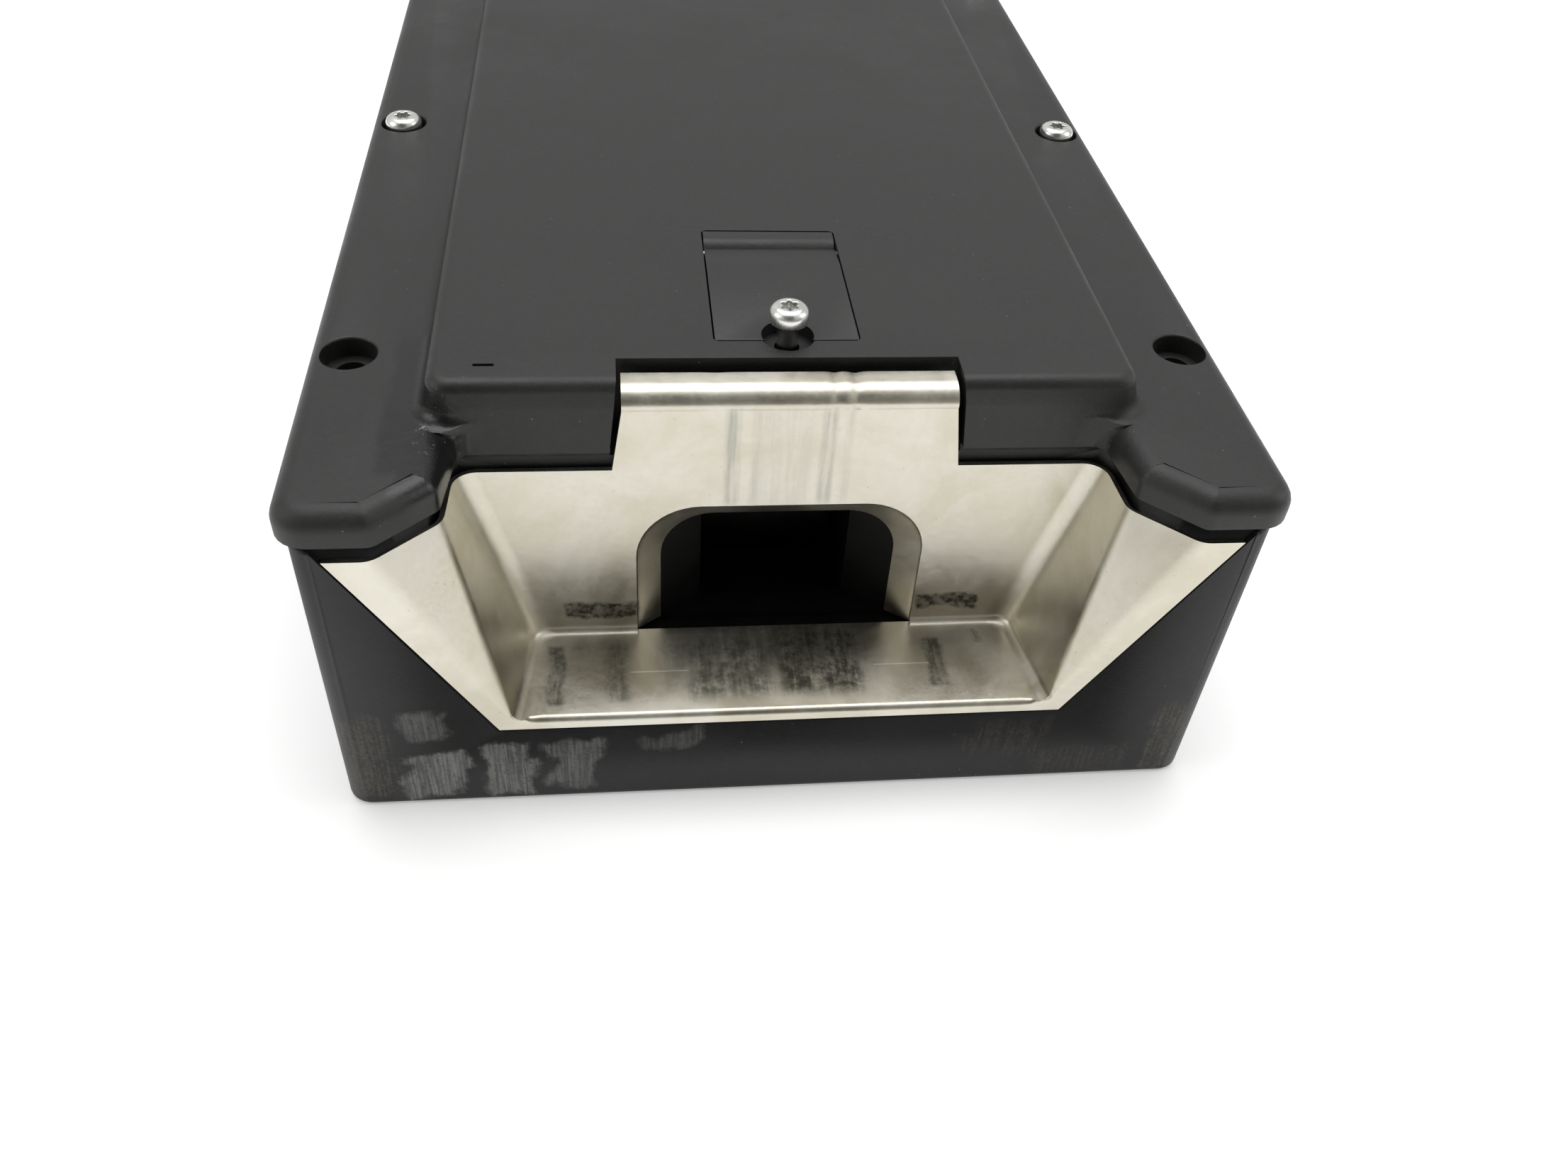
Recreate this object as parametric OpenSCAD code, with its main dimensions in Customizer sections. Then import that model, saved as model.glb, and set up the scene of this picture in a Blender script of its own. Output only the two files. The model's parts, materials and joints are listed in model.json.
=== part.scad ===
// Guard-locking safety interlock switch: a long dark plastic box with a screwed-on lid. A pressed
// metal funnel in its front leads the tongue of a guard door to a cam wheel, which a lever locks
// and a solenoid frees. A small hinged flap on the lid covers the auxiliary release.
// +X right, +Y back, +Z up. The origin is at the centre of the four fixing threads, on the underside.
// Depths (names ending in _d) are measured back from the front face of the base.

/* [Base] */
// Width of the base
base_w = 110; // [108:1:132]
// Length of the base, front to back
base_l = 184; // [180:1:225]
// Height of the base up to its rim
base_h = 43; // [43:0.5:52]
// Radius of the upright corners of the base
corner_r = 3; // [1:0.5:5]
// Thickness of the floor
floor_t = 4; // [3.5:0.5:6]
// Thickness of the side walls, which hold the lid screws
side_wall = 9; // [8:0.5:11]
// Thickness of the rear wall, which holds the cable entries
rear_wall = 6; // [5:0.5:9]
// Depth of the solid front that holds the funnel
front_block = 22.5; // [22.5:0.5:25]
// Thickness of the gasket between base and lid
gasket_t = 1; // [0.6:0.2:2]

/* [Lid] */
// Overhang of the lid past the base on every side
lid_over = 1; // [0.5:0.25:2]
// Thickness of the lid's flange
flange_t = 4.5; // [4:0.5:6]
// Height of the raised plateau above the flange
plateau_h = 4.8; // [4.5:0.1:7]
// Width of the plateau
plateau_w = 81.8; // [78:0.5:90]
// Depth of the plateau's front wall
plateau_d = 15; // [14.5:0.25:16]
// Distance from the plateau's rear wall to the rear face of the base
plateau_rear = 12; // [8:1:20]
// Wall of the plateau
lid_wall = 2.5; // [2:0.25:3]
// Half-width at which the lid's front edge turns back to the funnel
lip_x = 45.5; // [43:0.5:47]

/* [Lid screws] */
// Distance of the lid screws from the side faces of the base
screw_inset = 3.9; // [3.6:0.1:4.5]
// Depth of the first pair of lid screws
screw_first_d = 29.15; // [28:0.5:32]
// Pitch of the pairs along the lid
screw_pitch = 62.6; // [55:0.5:66]
// Diameter of the pocket for a screw head
pocket_dia = 6.6; // [6.2:0.1:8]
// Depth of that pocket
pocket_depth = 2.6; // [1.5:0.1:3]
// Diameter of a lid screw's head
head_dia = 5.5; // [5:0.1:6]
// Height of a lid screw's head
head_h = 2.3; // [1.8:0.1:2.6]
// How far the fitted lid screws are backed out
screw_out = 1.4; // [0:0.1:2]

/* [Funnel] */
// Thickness of the pressed sheet
sheet_t = 0.7; // [0.5:0.1:1]
// Depth of the funnel's back wall
funnel_d = 15; // [14.5:0.1:15.5]
// Half-width of the mouth at the top
mouth_x = 46.2; // [45:0.2:47]
// Half-width of the mouth at the floor
mouth_low_x = 33.3; // [30:0.5:36]
// Height of the funnel's floor
funnel_floor = 15.2; // [14:0.2:18]
// Height of the funnel's upper edge
funnel_top = 41.5; // [40:0.5:42.5]
// Half-width of the flange at the upper edge
flange_x = 51.3; // [49:0.2:52.5]
// Half-width of the flange at its lower edge
flange_low_x = 35; // [33:0.5:38]
// Width of the tab at its root
tab_w = 41.2; // [36:0.2:44]
// Width of the tab at its rolled top
tab_top_w = 38.6; // [34:0.2:41]
// Outer radius of the roll at the top of the tab
tab_roll = 2.4; // [2:0.1:3]
// Half-width of the arched opening
arch_x = 18; // [15:0.5:19.5]
// Height of the arched opening
arch_h = 20.6; // [18:0.2:22]
// Corner radius of the arch
arch_r = 8; // [5:0.5:10]

/* [Tongue slot] */
// Width of the slot behind the arch
slot_w = 19.2; // [16:0.2:22]
// Height of the slot
slot_h = 18.6; // [14:0.2:18.6]

/* [Flap] */
// Width of the release flap
flap_w = 17; // [15:0.5:20]
// Length of the moving part of the flap
flap_l = 21.05; // [18:0.5:24]
// Depth of the flap's front edge
flap_d = 24.15; // [24:0.25:25]
// Thickness of the flap
flap_t = 2.4; // [2:0.1:3]
// Diameter of the flap's hinge pin
hinge_dia = 1.1; // [0.9:0.1:1.4]
// Gap around the flap
flap_gap = 0.3; // [0.2:0.05:0.5]

/* [Cam wheel] */
// Radius of the cam wheel
wheel_r = 14; // [12:0.5:14]
// Width of the cam wheel
wheel_w = 18; // [14:0.5:18]
// Depth of the wheel's axle
wheel_d = 46; // [46:0.5:47]
// Height of the wheel's axle
wheel_z = 22; // [22:0.5:23]
// Diameter of the wheel's axle
axle_dia = 5; // [4:0.5:6]
// How far the wheel turns, in degrees
wheel_turn = 55; // [40:5:60]

/* [Lock] */
// Depth of the lever's pin
lever_d = 66; // [65.5:0.5:67]
// Height of the lever's pin
lever_z = 13; // [12:0.5:14]
// Diameter of the lever's pin
lever_pin_dia = 4; // [3:0.5:4]
// Width of the lever
lever_w = 8; // [6:0.5:8]
// Height of the solenoid plunger above the lever's pin
link_arm = 15; // [13:0.5:16]
// Depth of the solenoid's front plate
solenoid_d = 92; // [90:1:95]
// Length of the solenoid's frame
solenoid_l = 34; // [30:1:36]
// Diameter of the solenoid plunger
plunger_dia = 9; // [8:0.5:10]
// Travel of the solenoid plunger
stroke = 3; // [2:0.5:3]

/* [Terminals] */
// Number of terminals
terminals = 8; // [4:1:9]
// Length of the circuit board
board_l = 40; // [36:1:42]
// Diameter of the threads of the cable entries
entry_dia = 18.5; // [16:0.5:19]

/* [Mounting] */
// Distance between the fixing threads across the base
mount_x = 80; // [70:1:84]
// Distance between the fixing threads along the base
mount_y = 140; // [134:1:150]
// Diameter of the fixing threads
mount_dia = 5; // [4:0.5:5]

/* [Hidden] */
$fn = 64;
eps = 0.01;
gap = 0.3;
fit = 0.05;
run = 0.1;

// Heights of the stack of base, gasket and lid
lid_z = base_h + gasket_t;
flange_z = lid_z + flange_t;
plateau_z = flange_z + plateau_h;
ceiling_z = plateau_z - lid_wall;
rim_inner_x = base_w / 2 - side_wall;
rear_d = base_l - rear_wall;
screw_x = base_w / 2 - screw_inset;

// Lid screws and their inserts
shank_r = 1.5;
clear_r = 1.8;
insert_r = 2.3;
insert_l = 8;
shelf_z = flange_z - pocket_depth;

// Funnel: where the wing meets the side wall, and the corner where the side wall meets the back
crease_x = mouth_x - 7.1;
crease_d = 6.4;
side_x = crease_x - 0.4;
side_d = funnel_d - 1.8;
back_x = side_x - 2.2;
back_low_x = mouth_low_x - 2.3;
flange_low_z = funnel_floor - 1.6;
recess_t = sheet_t + 0.1;
collar_l = 2.4;
collar_scale = [0.828, 0.854];
tab_bend_z = plateau_z - 3.5;
tab_end_d = funnel_d + 4.2;
notch_d = funnel_d + 5.45;

// Guide channel behind the arch
nose_x = 21;
nose_low_z = funnel_floor - 2.7;
nose_top_z = funnel_floor + arch_h + 2.2;
guide_flange_x = 26;
guide_flange_t = 2.5;
guide_end_d = wheel_d - wheel_r - 0.5;
taper_d = funnel_d + 2.6;
taper_x = 15.2;
slot_low_z = funnel_floor - 1;
guide_screw_x = 23.2;

// Flap and the well in the lid below it
flap_x = 0.2;
flap_low_z = plateau_z - flap_t;
flap_end_d = flap_d + flap_l;
hinge_d = flap_end_d + 0.45;
hinge_z = plateau_z - 1.1;
knuckle_r = 0.95;
strip_d = hinge_d + 1.3;
strip_end_d = strip_d + 3.25;
well_z = plateau_z - 3.8;
well_block_z = plateau_z - 7.3;
well_edge = 1.2;
flap_screw_x = flap_x + 0.1;
flap_screw_d = flap_d + 1.05;
flap_pocket_r = 3.1;
flap_tongue_t = 0.8;
flap_shank_r = 1.25;
flap_shank_l = 5;
flap_head_r = 2.4;
flap_head_h = 2;
flap_screw_out = 3.6;
flap_screw_z = flap_low_z + flap_tongue_t + flap_screw_out;
flap_insert_r = 2;

// Release shaft below the flap
release_d = flap_d + 12.85;
release_r = 4;
release_head_r = 5.5;
release_head_z = plateau_z - 4.3;
release_head_t = 1.6;
release_boss_r = 7;
release_boss_z = well_block_z - 2;
oring_z = release_boss_z + 1.4;
oring_r = 0.7;
clip_t = 0.8;
release_low_z = plateau_z - 16.2;
release_cam_h = 3;
release_cam_r = 7;

// Chassis
plate_t = 2;
plate_z = floor_t;
plate_top_z = plate_z + plate_t;
cheek_x = 18;
cheek_front_d = wheel_d - 18;
cheek_rear_d = solenoid_d - 2;
cheek_top_z = wheel_z + 19;
chassis_rear_d = solenoid_d + solenoid_l + 2;
ear_x = 27;
ear_screw_x = 23;
ear_front_d = wheel_d - 10;
ear_rear_d = chassis_rear_d - 8;
clip_r = 4.5;

// Cam wheel and the side cam that works the door switch
side_cam_r = 9;
side_cam_rise = 2.5;
side_cam_x = wheel_w / 2 + 5;
switch_x = side_cam_x - 2.5;
notch_depth = 1.8;

// Lever, solenoid and switches
link_z = lever_z + link_arm;
rim_d = wheel_d + wheel_r;
tooth_z = wheel_z;
foot_l = 14;
spring_d = lever_d + foot_l - 3;
spring_r = 2.4;
wire_r = 0.35;
spring_turns = 4;
frame_x = 15;
frame_plate = 3;
frame_top_z = link_z + 16;
bobbin_r = 12.8;
bobbin_flange = 2;
bobbin_hole_r = plunger_dia / 2 + 0.2;
bobbin_tube_r = plunger_dia / 2 + 1.5;
coil_r = 12;
link_pin_r = 1.5;
clevis_ear = 2;
nose_z = release_low_z + 0.4;
nose_h = 2;
switch_d = lever_d + 7;
switch_len = 15;
switch_h = 26;
switch_low_x = 7;
switch_high_x = 15.6;
button_r = 2;
lock_button_z = lever_z + 8;

// Circuit board and terminals at the rear
board_x = 38;
board_z = 14;
board_t = 1.6;
board_d = rear_d - board_l - 6;
board_screw_r = 1.25;
earth_x = 33;
post_r = 3.5;
terminal_pitch = 8;
terminal_d = board_d + 12;
terminal_l = 14;
terminal_h = 12;
entry_x = 28;
entry_z = 27;
plug_head_r = entry_dia / 2 + 2.2;
plug_head_t = 3.5;

// Mounting
mount_insert_r = 4;
mount_insert_l = 8;
boss_r = 6;
boss_h = 10;

// Places children by their depth behind the front face
module from_front() {
    translate([0, -base_l / 2, 0]) children();
}

// A flat plate with round upright corners, centred on X, from one depth to another
module rounded_plan(w, d0, d1, r) {
    l = d1 - d0;
    translate([-w / 2 + r, d0]) square([w - 2 * r, l]);
    translate([-w / 2, d0 + r]) square([w, l - 2 * r]);
    for (x = [-1, 1], d = [d0 + r, d1 - r]) {
        translate([x * (w / 2 - r), d]) circle(r);
    }
}

module block(x0, x1, d0, d1, z0, z1) {
    translate([x0, d0, z0]) cube([x1 - x0, d1 - d0, z1 - z0]);
}

module lid_screw_places(first = 0) {
    for (side = [-1, 1], row = [first : 2]) {
        translate([side * screw_x, screw_first_d + row * screw_pitch, 0]) children();
    }
}

module mount_places() {
    for (x = [-1, 1], y = [-1, 1]) {
        translate([x * mount_x / 2, y * mount_y / 2, 0]) children();
    }
}

// A rod along X, centred on X = 0, at a depth and height
module cross_rod(r, l, d, z) {
    translate([-l / 2, d, z]) rotate([0, 90, 0]) cylinder(r = r, h = l);
}

// A rod along Y from one depth to another
module long_rod(r, x, z, d0, d1) {
    translate([x, d0, z]) rotate([-90, 0, 0]) cylinder(r = r, h = d1 - d0);
}

module ring(outer, inner, h) {
    difference() {
        cylinder(r = outer, h = h);
        translate([0, 0, -eps]) cylinder(r = inner, h = h + 2 * eps);
    }
}

// The plan of the inside of the box
module cavity_plan() {
    rounded_plan(2 * rim_inner_x, front_block, rear_d, corner_r);
}

// The plan of the cut that leaves the funnel open from above
module funnel_cut_plan() {
    half = [[lip_x + 1.1, -2], [lip_x, -lid_over], [crease_x - 0.1, crease_d - 1.5],
        [side_x - 0.7, side_d - 0.2], [back_x - 0.5, plateau_d]];
    left = [for (i = [4 : -1 : 0]) [-half[i][0], half[i][1]]];
    polygon(concat(half, left));
}

// The shape of the arched opening, seen from the front with its sill at Y = 0
module arch_shape(grow = 0) {
    x = arch_x + grow;
    h = arch_h + grow;
    translate([-x, -grow]) square([2 * x, h - arch_r + grow]);
    translate([-x + arch_r, 0]) square([2 * (x - arch_r), h]);
    for (side = [-1, 1]) {
        translate([side * (x - arch_r), h - arch_r]) circle(arch_r);
    }
}

// The hollow of the funnel, grown outwards by a margin and carried up to a given height
module funnel_hollow(grow, top_z) {
    low = funnel_floor - grow;
    slope = (mouth_x - mouth_low_x) / (funnel_top - funnel_floor);
    rise = (top_z - funnel_top) * slope;
    hull() {
        for (side = [-1, 1]) {
            translate([side * (mouth_x + grow + rise), -eps, top_z]) cube(eps, center = true);
            translate([side * (crease_x + grow + rise), crease_d, top_z]) cube(eps, center = true);
            translate([side * (mouth_low_x + grow), -eps, low]) cube(eps, center = true);
        }
    }
    hull() {
        for (side = [-1, 1]) {
            translate([side * (crease_x + grow + rise), crease_d, top_z]) cube(eps, center = true);
            translate([side * (side_x + grow + rise), side_d, top_z]) cube(eps, center = true);
            translate([side * (back_x + grow + rise), funnel_d + grow, top_z]) cube(eps, center = true);
            translate([side * (mouth_low_x + grow), -eps, low]) cube(eps, center = true);
            translate([side * (back_low_x + grow), funnel_d + grow, low]) cube(eps, center = true);
        }
    }
}

// The outline of the funnel's flange, seen from the front
module flange_shape(grow, top_z) {
    x = flange_x + grow;
    low_x = flange_low_x + grow;
    low = flange_low_z - grow;
    slope = (flange_x - flange_low_x) / (funnel_top - flange_low_z);
    x_top = x + (top_z - funnel_top) * slope;
    polygon([[-x_top, top_z], [-low_x, low], [low_x, low], [x_top, top_z]]);
}

// Extrudes a shape seen from the front, from one depth to another
module front_extrude(d0, d1) {
    translate([0, d1, 0]) rotate([90, 0, 0]) linear_extrude(d1 - d0) children();
}

module cable_entries(r, d0, d1) {
    for (side = [-1, 1]) {
        long_rod(r, side * entry_x, entry_z, d0, d1);
    }
}

// The box, with a pocket for the funnel in its solid front, bosses for the fixing threads,
// posts for the circuit board and two cable entries at the rear
module base_housing() {
    color([0.13, 0.13, 0.14]) difference() {
        union() {
            difference() {
                from_front() linear_extrude(base_h) rounded_plan(base_w, 0, base_l, corner_r);
                from_front() translate([0, 0, floor_t]) linear_extrude(base_h) cavity_plan();
            }
            translate([0, 0, floor_t - eps]) mount_places() cylinder(r = boss_r, h = boss_h - floor_t + eps);
            from_front() board_posts();
        }
        from_front() funnel_hollow(sheet_t + gap, base_h + 1);
        from_front() front_extrude(-1, recess_t) flange_shape(gap, base_h + 1);
        from_front() block(-nose_x, nose_x, funnel_d, front_block + 1, nose_low_z, nose_top_z);
        from_front() for (side = [-1, 1], z = [nose_low_z + 2, nose_top_z - 2]) {
            long_rod(shank_r, side * guide_screw_x, z, front_block - 5, front_block + 1);
        }
        from_front() chassis_screw_places() translate([0, 0, 1.5]) cylinder(r = shank_r, h = floor_t);
        from_front() lid_screw_places() translate([0, 0, base_h - insert_l - 4]) {
            cylinder(r = shank_r, h = 5);
            translate([0, 0, 4]) cylinder(r = insert_r, h = insert_l + 1);
        }
        translate([0, 0, -1]) mount_places() cylinder(r = mount_insert_r, h = mount_insert_l + 1);
        from_front() board_screw_places() translate([0, 0, board_z - 5]) cylinder(r = board_screw_r, h = 6);
        from_front() cable_entries(entry_dia / 2, rear_d - 1, base_l + 1);
        from_front() earth_place() translate([0, 0, floor_t]) cylinder(r = shank_r, h = boss_h);
    }
}

// Brass inserts with the threads that hold the switch to its bracket
module mounting_inserts() {
    color([0.75, 0.6, 0.3]) mount_places() difference() {
        cylinder(r = mount_insert_r, h = mount_insert_l);
        translate([0, 0, -eps]) cylinder(r = mount_dia / 2, h = mount_insert_l + 2 * eps);
    }
}

// Brass inserts for the lid screws
module lid_inserts() {
    color([0.75, 0.6, 0.3]) from_front() lid_screw_places() {
        translate([0, 0, base_h - insert_l]) ring(insert_r, shank_r + fit, insert_l);
    }
}

// Flat gasket on the rim of the base
module lid_gasket() {
    inset = 0.6;
    color([0.05, 0.05, 0.05]) from_front() difference() {
        translate([0, 0, base_h]) linear_extrude(gasket_t) difference() {
            rounded_plan(base_w - 2 * inset, inset, base_l - inset, corner_r);
            cavity_plan();
        }
        funnel_hollow(sheet_t + gap, lid_z + 1);
        front_extrude(-1, recess_t + gap) flange_shape(gap, lid_z + 1);
        tab_notch();
        lid_screw_places() translate([0, 0, base_h - 1]) cylinder(r = clear_r, h = gasket_t + 2);
    }
}

// The space that the tab of the funnel passes through
module tab_notch() {
    low_x = tab_w / 2 + gap;
    top_x = tab_top_w / 2 + gap;
    front_extrude(plateau_d - 1, notch_d) {
        polygon([[-low_x, base_h - 1], [low_x, base_h - 1], [top_x, plateau_z + 1], [-top_x, plateau_z + 1]]);
    }
}

// The lid: a flange with a raised plateau, open below
module lid() {
    color([0.15, 0.15, 0.15]) difference() {
        union() {
            difference() {
                lid_shell();
                lid_inside();
            }
            lid_well();
        }
        from_front() tab_notch();
        lid_openings();
    }
}

module lid_shell() {
    plateau_end_d = base_l - plateau_rear;
    from_front() translate([0, 0, lid_z]) linear_extrude(flange_t) difference() {
        rounded_plan(base_w + 2 * lid_over, -lid_over, base_l + lid_over, corner_r + lid_over);
        funnel_cut_plan();
    }
    from_front() translate([0, 0, lid_z]) linear_extrude(flange_t + plateau_h) difference() {
        rounded_plan(plateau_w, plateau_d, plateau_end_d, corner_r);
        funnel_cut_plan();
    }
}

module lid_inside() {
    plateau_in_w = plateau_w - 2 * lid_wall;
    plateau_in_end_d = base_l - plateau_rear - lid_wall;
    from_front() translate([0, 0, lid_z - eps]) linear_extrude(flange_t - lid_wall) cavity_plan();
    from_front() translate([0, 0, lid_z]) linear_extrude(ceiling_z - lid_z) {
        rounded_plan(plateau_in_w, front_block, plateau_in_end_d, corner_r);
    }
}

// The thick block below the flap, with a boss around the release shaft
module lid_well() {
    from_front() block(flap_x - 12, flap_x + 12, front_block - 1, strip_end_d + 3, well_block_z, plateau_z - 1);
    from_front() translate([flap_x, release_d, release_boss_z]) {
        cylinder(r = release_boss_r, h = well_block_z - release_boss_z + 1);
    }
}

module lid_openings() {
    hinge_l = flap_w + 4;
    from_front() lid_screw_places() {
        translate([0, 0, shelf_z]) cylinder(r = pocket_dia / 2, h = flange_t);
        translate([0, 0, lid_z - 1]) cylinder(r = clear_r, h = flange_t);
    }
    from_front() {
        half = flap_w / 2 + flap_gap;
        block(flap_x - half, flap_x + half, flap_d - flap_gap, strip_end_d, flap_low_z - fit, plateau_z + 1);
        block(flap_x - half + well_edge, flap_x + half - well_edge, flap_screw_d + 4.5,
            strip_end_d, well_z, plateau_z);
        translate([flap_screw_x, flap_screw_d, flap_low_z - fit]) cylinder(r = flap_pocket_r, h = flap_t + 1);
        translate([flap_screw_x, flap_screw_d, well_z - 1]) cylinder(r = flap_shank_r + gap, h = 4);
        translate([flap_screw_x, flap_screw_d, well_block_z - 1]) cylinder(r = flap_insert_r, h = 4.5);
        translate([flap_x, release_d, release_head_z - run]) cylinder(r = release_head_r + gap, h = 4);
        translate([flap_x, release_d, release_boss_z - 1]) cylinder(r = release_r + run, h = 12);
        translate([flap_x, 0, 0]) cross_rod(hinge_dia / 2, hinge_l, hinge_d, hinge_z);
    }
}

// Pan-head screws in the middle and rear pairs of pockets; the front pair is missing
module lid_screws() {
    color([0.75, 0.75, 0.73]) from_front() lid_screw_places(first = 1) {
        translate([0, 0, shelf_z + screw_out]) pan_screw(head_dia / 2, head_h, shank_r, 8);
    }
}

// A pan-head screw with a six-lobe socket, its head's underside at Z = 0
module pan_screw(head_r, h, r, l) {
    lobes = 6;
    socket_r = head_r * 0.44;
    difference() {
        union() {
            cylinder(r = head_r, h = h * 0.55);
            translate([0, 0, h * 0.55 - eps]) cylinder(r1 = head_r, r2 = head_r * 0.72, h = h * 0.45 + eps);
            translate([0, 0, -l]) cylinder(r = r, h = l + eps);
        }
        translate([0, 0, h * 0.45]) cylinder(r = socket_r, h = h);
        for (i = [0 : lobes - 1]) {
            rotate([0, 0, i * 360 / lobes]) translate([socket_r, 0, h * 0.45]) cylinder(r = socket_r * 0.3, h = h);
        }
    }
}

// A pressed metal funnel: flange, wings, floor, back wall with an arched opening and collar,
// and a tab that rolls back over the front of the lid
module insertion_funnel() {
    color([0.74, 0.72, 0.67]) from_front() difference() {
        union() {
            intersection() {
                funnel_hollow(sheet_t, funnel_top);
                block(-mouth_x - 2, mouth_x + 2, 0, funnel_d + 3, flange_low_z, funnel_top);
            }
            front_extrude(0, sheet_t) flange_shape(0, funnel_top);
            funnel_tab();
        }
        funnel_hollow(0, funnel_top + eps);
        translate([0, 0, funnel_floor]) front_extrude(funnel_d - 1, funnel_d + 3) arch_shape();
    }
    color([0.74, 0.72, 0.67]) from_front() funnel_collar();
}

// The drawn collar that leads from the arch into the guide channel
module funnel_collar() {
    translate([0, funnel_d, funnel_floor]) rotate([-90, 0, 0]) mirror([0, 1, 0]) difference() {
        collar_taper(collar_l) arch_shape(sheet_t);
        translate([0, 0, -eps]) collar_taper(collar_l + 2 * eps) arch_shape();
        translate([-arch_x - 2, -5, -1]) cube([2 * arch_x + 4, 5, collar_l + 2]);
    }
}

module collar_taper(h) {
    linear_extrude(height = h, scale = collar_scale, slices = 1, $fn = 32) children();
}

module funnel_tab() {
    bend_d = funnel_d + tab_roll;
    low_x = tab_w / 2;
    top_x = tab_top_w / 2;
    front_extrude(funnel_d, funnel_d + sheet_t) {
        polygon([[-low_x, funnel_top - 1], [low_x, funnel_top - 1], [top_x, tab_bend_z], [-top_x, tab_bend_z]]);
    }
    translate([-top_x, 0, 0]) rotate([90, 0, 90]) linear_extrude(tab_top_w) {
        intersection() {
            difference() {
                translate([bend_d, tab_bend_z]) circle(tab_roll);
                translate([bend_d, tab_bend_z]) circle(tab_roll - sheet_t);
            }
            translate([funnel_d, tab_bend_z]) square([tab_roll, tab_roll]);
        }
        translate([bend_d, tab_bend_z + tab_roll - sheet_t]) square([tab_end_d - bend_d, sheet_t]);
    }
}

// The plastic channel that narrows from the arch to the tongue slot
module guide_channel() {
    x = nose_x - fit;
    slot_x = slot_w / 2;
    slot_top_z = slot_low_z + slot_h;
    taper_end_d = taper_d + 4;
    color([0.08, 0.08, 0.08]) from_front() difference() {
        union() {
            block(-x, x, funnel_d + sheet_t + gap / 2, front_block + eps, nose_low_z + fit, nose_top_z - fit);
            block(-guide_flange_x, guide_flange_x, front_block, front_block + guide_flange_t,
                nose_low_z - 3, nose_top_z + 3);
            block(-cheek_x + plate_t + gap, cheek_x - plate_t - gap, front_block, guide_end_d,
                nose_low_z - 3, slot_top_z + 2.5);
        }
        translate([0, 0, funnel_floor]) front_extrude(funnel_d, taper_d + eps) arch_shape(sheet_t + gap);
        translate([0, 0, funnel_floor]) linear_extrude(arch_h - 2.6) {
            polygon([[-taper_x, taper_d], [taper_x, taper_d], [slot_x, taper_end_d], [-slot_x, taper_end_d]]);
        }
        block(-slot_x, slot_x, taper_end_d - eps, guide_end_d + 1, slot_low_z, slot_top_z);
        guide_screw_places() long_rod(clear_r, 0, 0, front_block - 1, front_block + guide_flange_t + 1);
    }
}

module guide_screw_places() {
    for (side = [-1, 1], z = [nose_low_z + 2, nose_top_z - 2]) {
        translate([side * guide_screw_x, 0, z]) children();
    }
}

module guide_screws() {
    seat_d = front_block + guide_flange_t;
    color([0.7, 0.7, 0.7]) from_front() guide_screw_places() {
        translate([0, seat_d, 0]) rotate([-90, 0, 0]) slotted_screw(2.6, 1.6, shank_r - fit, 6);
    }
}

// A cheese-head screw with a slot, its head's underside at Z = 0
module slotted_screw(head_r, h, r, l) {
    difference() {
        union() {
            cylinder(r = head_r, h = h);
            translate([0, 0, -l]) cylinder(r = r, h = l + eps);
        }
        translate([-head_r - 1, -0.3, h * 0.5]) cube([2 * head_r + 2, 0.6, h]);
    }
}

// The flap over the auxiliary release, with its knuckle at the rear and a seat for its screw
module release_flap() {
    knuckle_l = flap_w - 0.4;
    color([0.15, 0.15, 0.15]) from_front() difference() {
        union() {
            block(flap_x - flap_w / 2, flap_x + flap_w / 2, flap_d, flap_end_d, flap_low_z, plateau_z);
            translate([flap_screw_x, flap_screw_d, flap_low_z]) cylinder(r = flap_pocket_r - 0.15, h = flap_tongue_t);
            translate([flap_x, 0, 0]) cross_rod(knuckle_r, knuckle_l, hinge_d, hinge_z);
            block(flap_x - knuckle_l / 2, flap_x + knuckle_l / 2, flap_end_d - 1, hinge_d,
                hinge_z - knuckle_r, hinge_z);
        }
        translate([flap_screw_x, flap_screw_d, flap_low_z + flap_tongue_t]) {
            cylinder(r = flap_pocket_r - 0.15, h = flap_t);
        }
        translate([flap_screw_x, flap_screw_d, flap_low_z - 1]) cylinder(r = flap_shank_r + run, h = 4);
        translate([flap_x, 0, 0]) cross_rod(hinge_dia / 2 + run, flap_w + 2, hinge_d, hinge_z);
    }
}

module flap_hinge_pin() {
    color([0.7, 0.7, 0.7]) from_front() translate([flap_x, 0, 0]) {
        cross_rod(hinge_dia / 2 - 0.02, flap_w + 3.5, hinge_d, hinge_z);
    }
}

// The fixed strip behind the flap
module flap_strip() {
    half = flap_w / 2;
    inner = half + flap_gap - well_edge - fit;
    color([0.15, 0.15, 0.15]) from_front() {
        block(flap_x - half, flap_x + half, strip_d, strip_end_d - flap_gap, flap_low_z, plateau_z);
        block(flap_x - inner, flap_x + inner, strip_d, strip_end_d - flap_gap, well_z, flap_low_z + eps);
    }
}

module flap_screw() {
    color([0.75, 0.75, 0.73]) from_front() translate([flap_screw_x, flap_screw_d, flap_screw_z]) {
        pan_screw(flap_head_r, flap_head_h, flap_shank_r, flap_shank_l);
    }
}

module flap_insert() {
    color([0.75, 0.6, 0.3]) from_front() translate([flap_screw_x, flap_screw_d, well_block_z]) {
        ring(flap_insert_r, flap_shank_r + fit, well_z - 0.3 - well_block_z);
    }
}

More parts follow.
